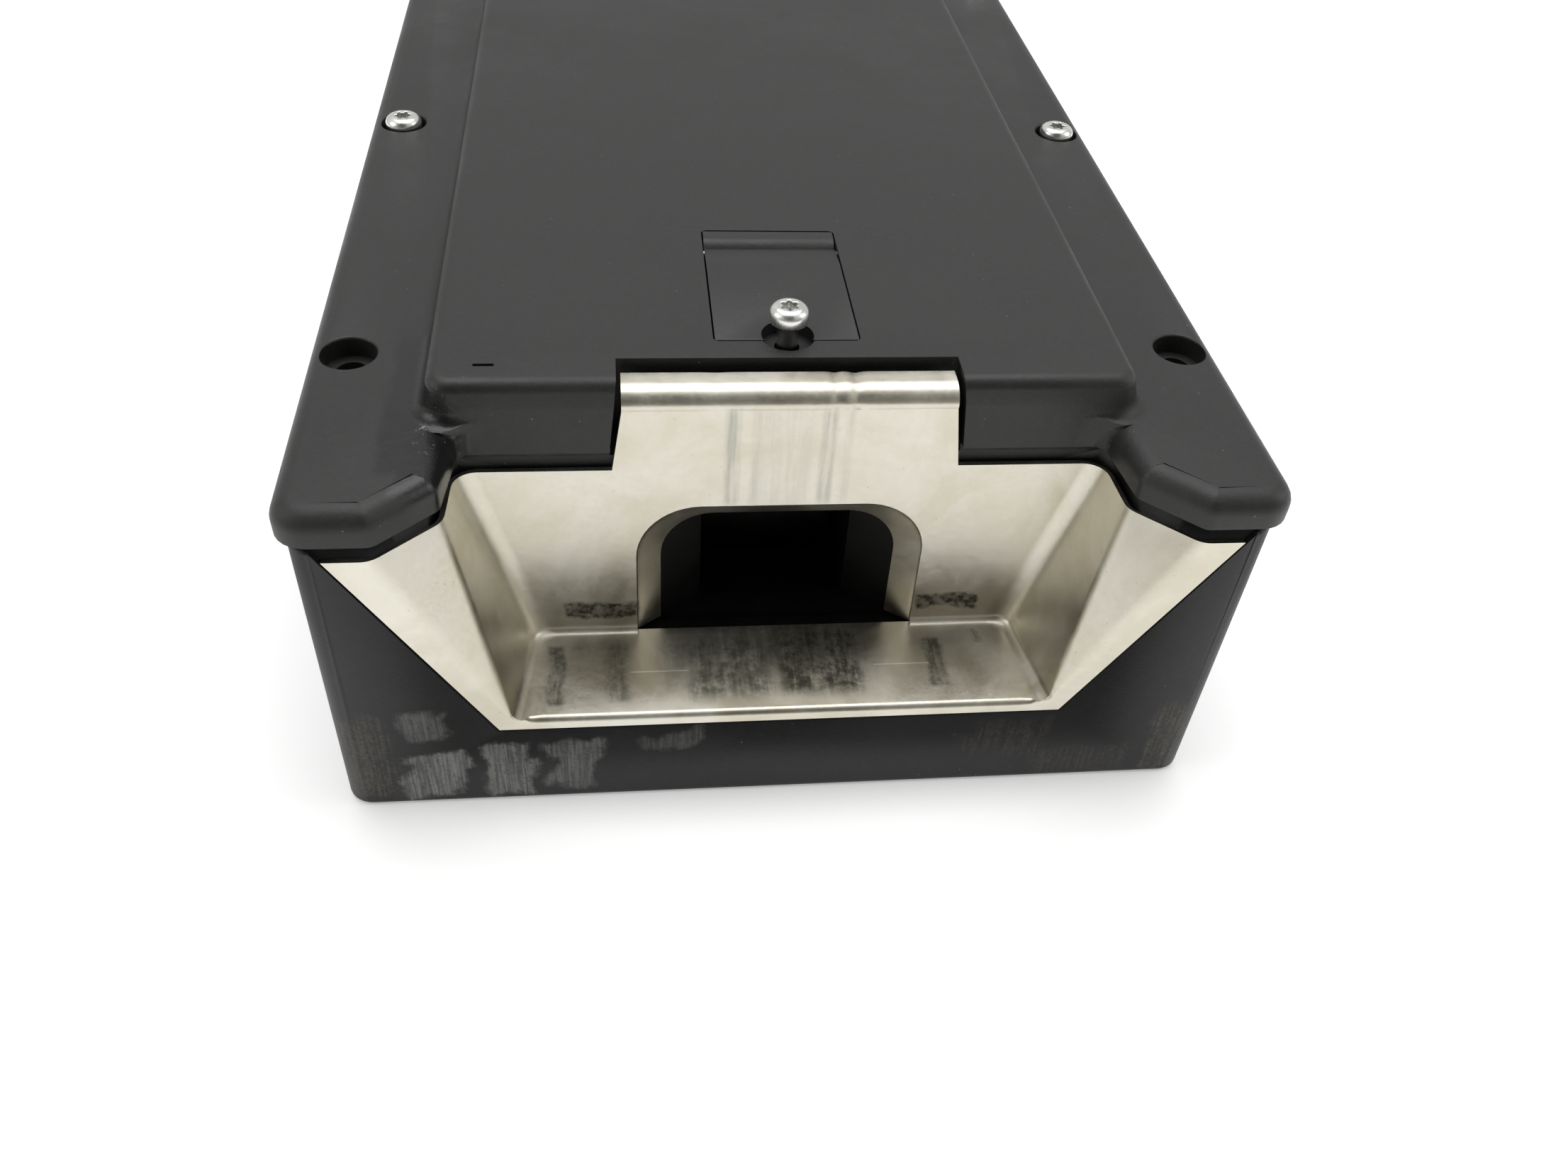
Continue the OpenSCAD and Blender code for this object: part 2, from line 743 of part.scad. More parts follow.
// The shaft that frees the lock by hand: slotted head, sealed stem and an eccentric foot
module release_shaft() {
    stem_z = release_low_z + release_cam_h;
    color([0.72, 0.72, 0.74]) from_front() translate([flap_x, release_d, 0]) difference() {
        union() {
            translate([0, 0, release_head_z]) cylinder(r = release_head_r, h = release_head_t);
            translate([0, 0, stem_z - eps]) cylinder(r = release_r, h = release_head_z - stem_z + 2 * eps);
            translate([0, 0, release_low_z]) cylinder(r = release_r, h = release_cam_h);
            translate([0, -release_cam_r + release_r - 1, release_low_z]) cylinder(r = release_r - 1, h = release_cam_h);
        }
        translate([-release_head_r - 1, -0.6, release_head_z + 0.5]) cube([2 * release_head_r + 2, 1.2, 3]);
        translate([0, 0, oring_z - oring_r]) ring(release_r + 1, release_r - oring_r, 2 * oring_r);
        translate([0, 0, release_boss_z - 0.4 - clip_t]) ring(release_r + 1, release_r - 1, clip_t);
    }
}

module release_oring() {
    color([0.05, 0.05, 0.05]) from_front() translate([flap_x, release_d, oring_z]) {
        rotate_extrude() translate([release_r - oring_r + 0.35, 0]) circle(r = 0.34, $fn = 24);
    }
}

module release_clip() {
    color([0.6, 0.6, 0.62]) from_front() translate([flap_x, release_d, release_boss_z - 0.35 - clip_t]) {
        ring(release_r + 2, release_r - 1 + 0.02, clip_t - 0.1);
    }
}

module chassis_screw_places() {
    for (side = [-1, 1], d = [ear_front_d, ear_rear_d]) {
        translate([side * ear_screw_x, d, 0]) children();
    }
}

// A bent steel frame that carries the wheel, the lever, the switches and the solenoid
module mechanism_chassis() {
    color([0.62, 0.63, 0.65]) from_front() difference() {
        union() {
            block(-cheek_x, cheek_x, cheek_front_d, chassis_rear_d, plate_z, plate_top_z);
            for (d = [ear_front_d, ear_rear_d]) {
                block(-ear_x, ear_x, d - 5, d + 5, plate_z, plate_top_z);
            }
            for (side = [-1, 1]) {
                translate([side * (cheek_x - plate_t / 2), 0, 0]) {
                    block(-plate_t / 2, plate_t / 2, cheek_front_d, cheek_rear_d, plate_z, cheek_top_z);
                }
            }
        }
        cross_rod(axle_dia / 2, 50, wheel_d, wheel_z);
        cross_rod(lever_pin_dia / 2, 50, lever_d, lever_z);
        chassis_screw_places() cylinder(r = clear_r, h = 20);
    }
}

module chassis_screws() {
    color([0.7, 0.7, 0.7]) from_front() chassis_screw_places() {
        translate([0, 0, plate_top_z]) slotted_screw(3, 1.8, shank_r - fit, plate_top_z - 1.8);
    }
}

// The wheel that the tongue turns: two tongue notches at the front, a lock notch at the rear
// and a spiral side cam for the door switch
module cam_wheel() {
    hub_l = 2 * (cheek_x - plate_t) - 1;
    hub_r = axle_dia / 2 + 3;
    steps = 12;
    color([0.8, 0.8, 0.76]) from_front() difference() {
        union() {
            cross_rod(wheel_r, wheel_w, wheel_d, wheel_z);
            cross_rod(hub_r, hub_l, wheel_d, wheel_z);
            translate([-side_cam_x, wheel_d, wheel_z]) rotate([90, 0, 90]) linear_extrude(5.1) side_cam(steps);
        }
        cross_rod(axle_dia / 2 + fit, 50, wheel_d, wheel_z);
        wheel_notch(175, 5.5, 5);
        wheel_notch(-wheel_turn, 4.6, notch_depth);
    }
}

// The outline of the side cam: a circle whose radius grows evenly over the wheel's turn
module side_cam(steps) {
    rising = [for (i = [0 : steps]) let (a = -i * wheel_turn / steps, r = side_cam_r + i * side_cam_rise / steps)
        [r * cos(a), r * sin(a)]];
    dwell_r = side_cam_r + side_cam_rise;
    dwell = [for (i = [1 : 4]) [dwell_r * cos(wheel_turn + i * 10), -dwell_r * sin(wheel_turn + i * 10)]];
    polygon(concat([[0, 0]], rising, dwell));
    circle(side_cam_r);
}

// A notch across the rim at an angle above the rear horizontal
module wheel_notch(angle, w, depth) {
    translate([-wheel_w, wheel_d, wheel_z]) rotate([angle, 0, 0]) {
        translate([0, wheel_r - depth, -w / 2]) cube([2 * wheel_w, depth + 2, w]);
    }
}

module wheel_axle() {
    color([0.7, 0.7, 0.72]) from_front() {
        cross_rod(axle_dia / 2 - 0.01, 2 * cheek_x + 3, wheel_d, wheel_z);
    }
}

module axle_clips() {
    color([0.5, 0.5, 0.52]) from_front() for (side = [-1, 1]) {
        translate([side * (cheek_x + 0.5), wheel_d, wheel_z]) rotate([0, 90, 0]) {
            translate([0, 0, -0.4]) ring(clip_r, axle_dia / 2, 0.8);
        }
    }
}

// The bell-crank lever that locks the wheel: tooth at the front, nose for the hand release,
// slot for the link pin, a tab for the lock switch and a foot on the spring
module lock_lever() {
    x = lever_w / 2;
    bar = 3;
    nose_d = release_d + release_cam_r + 0.4;
    slot_drop = 0.7;
    color([0.66, 0.67, 0.7]) from_front() difference() {
        union() {
            block(-x, x, lever_d - bar, lever_d + bar, lever_z, nose_z + nose_h);
            cross_rod(bar + 1, lever_w, lever_d, lever_z);
            block(-x, x, rim_d + gap, lever_d, tooth_z - 2, tooth_z + 2);
            block(-x, x, nose_d, lever_d + bar, nose_z, nose_z + nose_h);
            block(-x, x, lever_d, lever_d + foot_l, lever_z - 2, lever_z + 2);
            block(0, side_cam_x - 1, lever_d - 2, lever_d + 2, lock_button_z - 2, lock_button_z + 2);
        }
        cross_rod(lever_pin_dia / 2 + fit, 50, lever_d, lever_z);
        for (z = [link_z - slot_drop, link_z + slot_drop]) {
            cross_rod(link_pin_r + 0.15, lever_w + 1, lever_d, z);
        }
        block(-x - 1, x + 1, lever_d - link_pin_r - 0.15, lever_d + link_pin_r + 0.15,
            link_z - slot_drop, link_z + slot_drop);
    }
}

module lever_pin() {
    color([0.7, 0.7, 0.72]) from_front() {
        cross_rod(lever_pin_dia / 2 - 0.01, 2 * cheek_x + 3, lever_d, lever_z);
    }
}

module lever_clips() {
    color([0.5, 0.5, 0.52]) from_front() for (side = [-1, 1]) {
        translate([side * (cheek_x + 0.5), lever_d, lever_z]) rotate([0, 90, 0]) {
            translate([0, 0, -0.4]) ring(clip_r - 0.5, lever_pin_dia / 2, 0.8);
        }
    }
}

// A compression spring under the lever's foot, drawn as touching turns of round wire
module lever_spring() {
    spring_h = lever_z - 2 - plate_top_z;
    turn = (spring_h - 2 * wire_r) / spring_turns;
    steps = 20;
    total = spring_turns * steps;
    sides = 8;
    ring_points = [for (i = [0 : total], k = [0 : sides - 1]) let (
        a = i * 360 / steps,
        q = k * 360 / sides,
        r = spring_r + wire_r * cos(q),
        z = plate_top_z + wire_r + i * turn / steps + wire_r * sin(q)
    ) [r * cos(a), r * sin(a), z]];
    side_faces = [for (i = [0 : total - 1], k = [0 : sides - 1]) let (n = (k + 1) % sides)
        [i * sides + k, i * sides + n, (i + 1) * sides + n, (i + 1) * sides + k]];
    start_face = [[for (k = [sides - 1 : -1 : 0]) k]];
    end_face = [[for (k = [0 : sides - 1]) total * sides + k]];
    color([0.6, 0.6, 0.62]) from_front() translate([0, spring_d, 0]) {
        polyhedron(points = ring_points, faces = concat(side_faces, start_face, end_face));
    }
}

// The steel yoke around the coil
module solenoid_frame() {
    rear = solenoid_d + solenoid_l;
    color([0.6, 0.6, 0.63]) from_front() difference() {
        block(-frame_x, frame_x, solenoid_d, rear, plate_top_z, frame_top_z);
        block(-frame_x - 1, frame_x + 1, solenoid_d + frame_plate, rear - frame_plate,
            plate_top_z + frame_plate, frame_top_z - frame_plate);
        long_rod(bobbin_hole_r + gap, 0, link_z, solenoid_d - 1, solenoid_d + frame_plate + 1);
        long_rod(plunger_dia / 2, 0, link_z, rear - frame_plate - 1, rear + 1);
    }
}

module solenoid_bobbin() {
    d0 = solenoid_d + frame_plate;
    d1 = solenoid_d + solenoid_l - frame_plate;
    color([0.85, 0.85, 0.8]) from_front() difference() {
        union() {
            long_rod(bobbin_tube_r, 0, link_z, d0, d1);
            long_rod(bobbin_r, 0, link_z, d0, d0 + bobbin_flange);
            long_rod(bobbin_r, 0, link_z, d1 - bobbin_flange, d1);
        }
        long_rod(bobbin_hole_r, 0, link_z, d0 - 1, d1 + 1);
    }
}

module solenoid_coil() {
    d0 = solenoid_d + frame_plate + bobbin_flange;
    d1 = solenoid_d + solenoid_l - frame_plate - bobbin_flange;
    color([0.6, 0.35, 0.15]) from_front() difference() {
        long_rod(coil_r, 0, link_z, d0, d1);
        long_rod(bobbin_tube_r, 0, link_z, d0 - 1, d1 + 1);
    }
}

// The fixed core that the plunger is drawn towards
module solenoid_core() {
    rear = solenoid_d + solenoid_l;
    color([0.6, 0.6, 0.63]) from_front() {
        long_rod(plunger_dia / 2, 0, link_z, rear - frame_plate - 2, rear);
    }
}

// The plunger, with a clevis at its front that straddles the lever
module solenoid_plunger() {
    ear_in = lever_w / 2 + gap;
    ear_out = ear_in + clevis_ear;
    root_d = lever_d + 8;
    end_d = solenoid_d + solenoid_l - frame_plate - 2 - stroke - 0.3;
    color([0.72, 0.72, 0.75]) from_front() difference() {
        union() {
            long_rod(plunger_dia / 2, 0, link_z, root_d + 3, end_d);
            block(-ear_out, ear_out, lever_d - 3.5, root_d + 4, link_z - 3.5, link_z + 3.5);
        }
        block(-ear_in, ear_in, lever_d - 4, root_d, link_z - 4, link_z + 4);
        cross_rod(link_pin_r, 30, lever_d, link_z);
    }
}

module link_pin() {
    color([0.7, 0.7, 0.72]) from_front() {
        cross_rod(link_pin_r - 0.01, lever_w + 2 * (gap + clevis_ear), lever_d, link_z);
    }
}

// A snap-action switch block on the chassis plate, with a bore for its button
module switch_block(side, button_x, button_z) {
    x0 = side > 0 ? switch_low_x : -switch_high_x;
    bore_l = 10;
    difference() {
        block(x0, x0 + switch_high_x - switch_low_x, switch_d, switch_d + switch_len,
            plate_top_z, plate_top_z + switch_h);
        long_rod(button_r + run, button_x, button_z, switch_d - 1, switch_d + bore_l);
    }
}

module door_switch() {
    color([0.55, 0.1, 0.08]) from_front() switch_block(-1, -switch_x, wheel_z);
}

module door_switch_plunger() {
    tip_d = wheel_d + side_cam_r + gap;
    color([0.9, 0.9, 0.85]) from_front() long_rod(button_r, -switch_x, wheel_z, tip_d, switch_d + 5);
}

module lock_switch() {
    color([0.55, 0.1, 0.08]) from_front() switch_block(1, switch_x, lock_button_z);
}

module lock_switch_plunger() {
    tip_d = lever_d + 2 + gap;
    color([0.9, 0.9, 0.85]) from_front() long_rod(button_r, switch_x, lock_button_z, tip_d, switch_d + 6);
}

module board_screw_places() {
    for (side = [-1, 1], d = [board_d + 4, board_d + board_l - 4]) {
        translate([side * (board_x - 4), d, 0]) children();
    }
}

module board_posts() {
    board_screw_places() translate([0, 0, floor_t - eps]) cylinder(r = post_r, h = board_z - floor_t + eps);
    earth_place() translate([0, 0, floor_t - eps]) cylinder(r = post_r + 1, h = boss_h - floor_t);
}

module earth_place() {
    translate([earth_x, board_d - 8, 0]) children();
}

module circuit_board() {
    color([0.1, 0.35, 0.15]) from_front() difference() {
        block(-board_x, board_x, board_d, board_d + board_l, board_z, board_z + board_t);
        board_screw_places() cylinder(r = clear_r, h = 50);
    }
}

module board_screws() {
    color([0.7, 0.7, 0.7]) from_front() board_screw_places() {
        translate([0, 0, board_z + board_t]) slotted_screw(2.6, 1.6, board_screw_r - 0.02, 5);
    }
}

module terminal_places() {
    for (i = [0 : terminals - 1]) {
        translate([(i - (terminals - 1) / 2) * terminal_pitch, 0, 0]) children();
    }
}

// The row of terminals on the circuit board
module terminal_block() {
    z = board_z + board_t;
    half = terminals * terminal_pitch / 2;
    mid_d = terminal_d + terminal_l / 2;
    color([0.82, 0.82, 0.78]) from_front() difference() {
        block(-half, half, terminal_d, terminal_d + terminal_l, z, z + terminal_h);
        terminal_places() {
            translate([0, mid_d, z + terminal_h - 5]) cylinder(r = 2.4, h = 6);
            translate([0, mid_d, z + 3]) cylinder(r = shank_r, h = 10);
            block(-2, 2, mid_d + 3.5, terminal_d + terminal_l + 1, z + 1.5, z + 5.5);
        }
    }
}

module terminal_screws() {
    z = board_z + board_t + terminal_h - 5;
    color([0.7, 0.7, 0.7]) from_front() terminal_places() {
        translate([0, terminal_d + terminal_l / 2, z]) slotted_screw(2.2, 1.6, shank_r - fit, 3.5);
    }
}

module earth_screw() {
    color([0.75, 0.6, 0.3]) from_front() earth_place() {
        translate([0, 0, boss_h - eps]) slotted_screw(3.4, 2, shank_r - fit, 5);
    }
}

// The plug in the unused cable entry
module blanking_plug() {
    r = entry_dia / 2 - fit;
    color([0.1, 0.1, 0.1]) from_front() difference() {
        union() {
            long_rod(r, -entry_x, entry_z, rear_d + 0.5, base_l + eps);
            long_rod(r - 1.4, -entry_x, entry_z, base_l, base_l + 2);
            long_rod(plug_head_r, -entry_x, entry_z, base_l + 1.5, base_l + 1.5 + plug_head_t);
        }
        long_rod(r - 2.5, -entry_x, entry_z, rear_d - 1, base_l);
        block(-entry_x - 8, -entry_x + 8, base_l + plug_head_t, base_l + 6, entry_z - 0.9, entry_z + 0.9);
    }
}

module plug_oring() {
    color([0.05, 0.05, 0.05]) from_front() difference() {
        long_rod(plug_head_r - 0.4, -entry_x, entry_z, base_l, base_l + 1.5);
        long_rod(entry_dia / 2 - fit, -entry_x, entry_z, base_l - 1, base_l + 2);
    }
}

base_housing();
mounting_inserts();
lid_inserts();
lid_gasket();
lid();
lid_screws();
insertion_funnel();
guide_channel();
guide_screws();
release_flap();
flap_hinge_pin();
flap_strip();
flap_screw();
flap_insert();
release_shaft();
release_oring();
release_clip();
mechanism_chassis();
chassis_screws();
cam_wheel();
wheel_axle();
axle_clips();
lock_lever();
lever_pin();
lever_clips();
lever_spring();
solenoid_frame();
solenoid_bobbin();
solenoid_coil();
solenoid_core();
solenoid_plunger();
link_pin();
door_switch();
door_switch_plunger();
lock_switch();
lock_switch_plunger();
circuit_board();
board_screws();
terminal_block();
terminal_screws();
earth_screw();
blanking_plug();
plug_oring();
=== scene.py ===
"""Looks of the safety interlock switch: moulded box and lid, pressed metal funnel, screws, light and camera."""
import json
import math

import bmesh
import bpy
from mathutils import Matrix, Vector, geometry


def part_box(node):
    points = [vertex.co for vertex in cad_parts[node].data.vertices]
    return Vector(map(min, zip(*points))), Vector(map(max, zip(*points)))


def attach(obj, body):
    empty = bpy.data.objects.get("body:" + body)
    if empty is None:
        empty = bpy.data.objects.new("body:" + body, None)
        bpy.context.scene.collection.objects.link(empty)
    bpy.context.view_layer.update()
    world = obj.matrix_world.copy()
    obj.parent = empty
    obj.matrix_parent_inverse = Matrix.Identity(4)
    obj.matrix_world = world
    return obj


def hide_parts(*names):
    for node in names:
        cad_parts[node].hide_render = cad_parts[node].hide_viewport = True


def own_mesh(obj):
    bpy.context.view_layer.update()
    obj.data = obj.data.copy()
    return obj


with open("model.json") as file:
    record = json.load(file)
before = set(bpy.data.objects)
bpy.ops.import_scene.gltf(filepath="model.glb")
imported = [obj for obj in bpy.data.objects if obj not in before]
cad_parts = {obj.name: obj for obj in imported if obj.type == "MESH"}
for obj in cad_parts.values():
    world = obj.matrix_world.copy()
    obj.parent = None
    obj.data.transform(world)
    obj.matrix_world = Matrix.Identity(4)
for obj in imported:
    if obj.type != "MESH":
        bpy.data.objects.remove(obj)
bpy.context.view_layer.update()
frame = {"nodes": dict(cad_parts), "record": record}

# Lengths are in millimetres until a mesh is made. Depths are measured back from the base's front face.
MM = 0.001


def box_mm(node):
    low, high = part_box(node)
    return low / MM, high / MM


BASE_LOW, BASE_HIGH = box_mm("base_housing")
LID_LOW, LID_HIGH = box_mm("lid")
FUNNEL_LOW, FUNNEL_HIGH = box_mm("insertion_funnel")
FRONT_Y = BASE_LOW.y
HALF_W = BASE_HIGH.x
LENGTH = BASE_HIGH.y - BASE_LOW.y
RIM_Z = BASE_HIGH.z
LID_Z = LID_LOW.z
PLATEAU_Z = LID_HIGH.z
LID_HALF_W = LID_HIGH.x
OVERHANG = LID_HALF_W - HALF_W

# Lid
FLANGE_T = 4.5
FLANGE_Z = LID_Z + FLANGE_T
LID_CORNER_R = 4.0
LIP_X = 45.5
CORNER_R = 3.2
PLATEAU_HALF = 41.4
PLATEAU_D = 15.0
PLATEAU_REAR = 12.0
PLATEAU_WALL = 2.5
FOOT_FILLET_R = 2.0
HOLLOW_D = 22.5
POCKET_R = 3.3
POCKET_DEPTH = 2.6
SCREW_HOLE_R = 1.9
SCREW_OUT = 1.4
SCREW_X = 51.1
SCREW_DEPTHS = (29.15, 91.75, 154.35)
LID_SCREW = {"head_r": 2.72, "head_h": 2.3, "shank_r": 1.5, "shank_l": 8.0}

# Flap
FLAP_X = 0.2
FLAP_LOW, FLAP_HIGH = box_mm("release_flap")
STRIP_LOW, STRIP_HIGH = box_mm("flap_strip")
FLAP_FRONT_D = 24.15
FLAP_SCREW_D = 25.2
FLAP_SCREW_X = 0.3
FLAP_SCREW = {"head_r": 2.4, "head_h": 2.0, "shank_r": 1.25, "shank_l": 5.0}
FLAP_GAP = 0.2
FLAP_POCKET_R = 3.15
FLAP_NOTCH_R = 3.12
FLAP_HOLE_R = 1.5
SEAT_T = 0.8
SHANK_HOLE_R = 1.55
INSERT_R = 2.02
HINGE_BEHIND = 21.5
HINGE_BELOW = 1.1
HINGE_HOLE_R = 0.6
KNUCKLE_R = 0.93
TROUGH = 0.42
WELL_HALF = 7.6
WELL_DEPTHS = (29.7, 50.2)
WELL_BELOW = 3.8

# Hand-release shaft, under the flap
SHAFT_D = 37.0
SHAFT_SEAT_R = 5.8
SHAFT_HOLE_R = 4.1
SHAFT_BOSS_R = 7.0

# Funnel
SHEET = 0.7
FLOOR_Z = 15.2
FLOOR_X = 33.3
EDGE_Z = 41.5
BACK_D = 15.0
BACK_X = 31.0
CREASE_D = 6.4
EDGE_SPREAD = 12.9
CREASE_SPREAD = 5.8
BACK_SPREAD = 7.6
WING_RADII = (0, 3.0, 2.8, 2.7, 0)
FLANGE_TOP_X = FUNNEL_HIGH.x
FLANGE_SLOPE = 0.5842
LIP_Z = FUNNEL_LOW.z
LIP_END_X = 35.0
FOOT_R = 1.1
BEND_R = 0.9
ARCH_X = 18.0
ARCH_H = 20.6
ARCH_R = 8
TAB_X = 20.6
TAB_TOP_X = 19.35
BEND_Z = 49.8
ROLL_BELOW = 1.1
ROLL_LENGTH = 4.2
# Dents along the top of the tab: x, width, depth
TAB_DENTS = ((5.2, 0.5, 0.16), (7.6, 0.7, 0.2), (-8.5, 1.2, 0.06))

# Camera, solved from the edges of the box in the photograph
LENS_MM = 30.357
SENSOR_MM = 36.0
HEADING_DEG = 9.255
TILT_DEG = 43.225
ROLL_DEG = 4.906
CAMERA_PLACE = (-19.11, FRONT_Y - 107.07, 138.17)

# Surroundings: towards BRIGHT_SIDE they are brightest, towards DARK_SIDE, where the camera stands, they are dim
BRIGHT_SIDE = (0.0, 0.4, 0.917)
DARK_SIDE = (-0.117, -0.719, 0.685)
WARM_WHITE = (1.0, 0.94, 0.8, 1.0)
FLOOR_HALF = 20000.0
FLOOR_BELOW = 0.02


# ---------------------------------------------------------------- mesh tools

def rounded(points, radii, steps, closed=True):
    """The polyline through points with each corner rounded to its radius, or as far as its neighbours allow."""
    corners = [Vector(p) for p in points]
    out = []
    for i, (corner, radius) in enumerate(zip(corners, radii)):
        if radius <= 0 or (not closed and i in (0, len(corners) - 1)):
            out.append(corner)
            continue
        last = corners[i - 1] - corner
        following = corners[(i + 1) % len(corners)] - corner
        half = last.angle(following) / 2
        cut = min(radius / math.tan(half), 0.46 * min(last.length, following.length))
        radius = cut * math.tan(half)
        centre = corner + (last.normalized() + following.normalized()).normalized() * radius / math.sin(half)
        start = corner + last.normalized() * cut - centre
        end = corner + following.normalized() * cut - centre
        turn = start.angle(end)
        for k in range(steps + 1):
            share = k / steps
            a = math.sin((1 - share) * turn) / math.sin(turn)
            b = math.sin(share * turn) / math.sin(turn)
            out.append(centre + start * a + end * b)
    return out


def inset(loop, distance, weights=None):
    """A closed counter-clockwise loop moved inwards by a distance, times each point's weight."""
    out = []
    count = len(loop)
    for i, point in enumerate(loop):
        ahead = (loop[(i + 1) % count] - point).normalized()
        behind = (point - loop[i - 1]).normalized()
        normal = Vector((-ahead.y - behind.y, ahead.x + behind.x)).normalized()
        stretch = 1 / max(0.4, normal.dot(Vector((-ahead.y, ahead.x))))
        weight = 1 if weights is None else weights[i]
        out.append(point + normal * distance * stretch * weight)
    return out


class Skin:
    """Vertices and faces in millimetres, as (x, depth, z)."""

    def __init__(self):
        self.points = []
        self.faces = []

    def row(self, points):
        start = len(self.points)
        self.points.extend(tuple(p) for p in points)
        return list(range(start, len(self.points)))

    def ring(self, loop, z):
        return self.row((p.x, p.y, z) for p in loop)

    def bridge(self, first, second, closed=True):
        count = len(first)
        for i in range(count if closed else count - 1):
            j = (i + 1) % count
            self.faces.append((first[i], first[j], second[j], second[i]))

    def fill(self, *loops):
        """A flat face inside the first loop and outside the others."""
        groups = [[Vector(self.points[i]) for i in loop] for loop in loops]
        index = [i for loop in loops for i in loop]
        for face in geometry.tessellate_polygon(groups):
            self.faces.append(tuple(index[i] for i in face))

    def make(self, name, weld=0.002):
        mesh = bpy.data.meshes.new(name)
        verts = [(x * MM, (d + FRONT_Y) * MM, z * MM) for x, d, z in self.points]
        mesh.from_pydata(verts, [], self.faces)
        work = bmesh.new()
        work.from_mesh(mesh)
        bmesh.ops.remove_doubles(work, verts=work.verts, dist=weld * MM)
        bmesh.ops.recalc_face_normals(work, faces=work.faces)
        work.to_mesh(mesh)
        work.free()
        obj = bpy.data.objects.new(name, mesh)
        bpy.context.scene.collection.objects.link(obj)
        return obj


def stacked(name, outline, profile, weights=None):
    """A closed solid from one outline and a profile of (inset, height) steps.

    A third, true value in a step scales its inset by each point's weight.
    """
    skin = Skin()
    rings = []
    for step in profile:
        share = weights if len(step) > 2 and step[2] else None
        rings.append(skin.ring(inset(outline, step[0], share), step[1]))
    for lower, upper in zip(rings, rings[1:]):
        skin.bridge(lower, upper)
    skin.fill(rings[0])
    skin.fill(rings[-1])
    return skin.make(name)


def disc(x, d, radius, count=48):
    return [Vector((x + radius * math.cos(2 * math.pi * i / count),
                    d + radius * math.sin(2 * math.pi * i / count))) for i in range(count)]


def rectangle(x0, x1, d0, d1):
    return [Vector(p) for p in ((x0, d0), (x1, d0), (x1, d1), (x0, d1))]


def soft_rectangle(x0, x1, d0, d1, radius, steps=6):
    return rounded([(x0, d0), (x1, d0), (x1, d1), (x0, d1)], [radius] * 4, steps)


def flared_cut(name, outline, low_z, top_z, radius):
    """A cutter whose top opens out to round the rim of the hole that it leaves."""
    steps = 4
    profile = [(0, low_z), (0, top_z - radius)]
    for k in range(1, steps + 1):
        turn = k / steps * math.pi / 2
        profile.append((-radius * (1 - math.cos(turn)), top_z - radius * (1 - math.sin(turn))))
    profile.append((-radius * 1.02, top_z + 1.5))
    return stacked(name, outline, profile)


def apply_modifiers(obj):
    graph = bpy.context.evaluated_depsgraph_get()
    mesh = bpy.data.meshes.new_from_object(obj.evaluated_get(graph))
    obj.modifiers.clear()
    obj.data = mesh


def combine(obj, others, operation):
    """Joins, cuts or intersects obj with the others, which are used up."""
    for other in others:
        step = obj.modifiers.new("step", "BOOLEAN")
        step.operation = operation
        step.solver = "MANIFOLD"
        step.object = other
        apply_modifiers(obj)
        bpy.data.objects.remove(other)


def finish_piece(obj, body, material, nodes, angle):
    """Smooths a piece up to an angle, gives it its material and ties it to its body in place of its nodes."""
    mesh = obj.data
    mesh.polygons.foreach_set("use_smooth", [True] * len(mesh.polygons))
    mesh.set_sharp_from_angle(angle=math.radians(angle))
    obj.data.materials.clear()
    obj.data.materials.append(material)
    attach(obj, body)
    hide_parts(*nodes)


def arc_profile(inset_end, z_end, inset_start, z_start, steps):
    """Steps round a convex edge, from upright at the start to flat at the end."""
    out = []
    for k in range(1, steps + 1):
        turn = k / steps * math.pi / 2
        out.append((inset_start + (inset_end - inset_start) * (1 - math.cos(turn)),
                    z_start + (z_end - z_start) * math.sin(turn)))
    return out


# ---------------------------------------------------------------- material tools

def set_range(node, low, high, out_low, out_high):
    """Fills in a Map Range node."""
    for name, number in (("From Min", low), ("From Max", high), ("To Min", out_low), ("To Max", out_high)):
        node.inputs[name].default_value = number


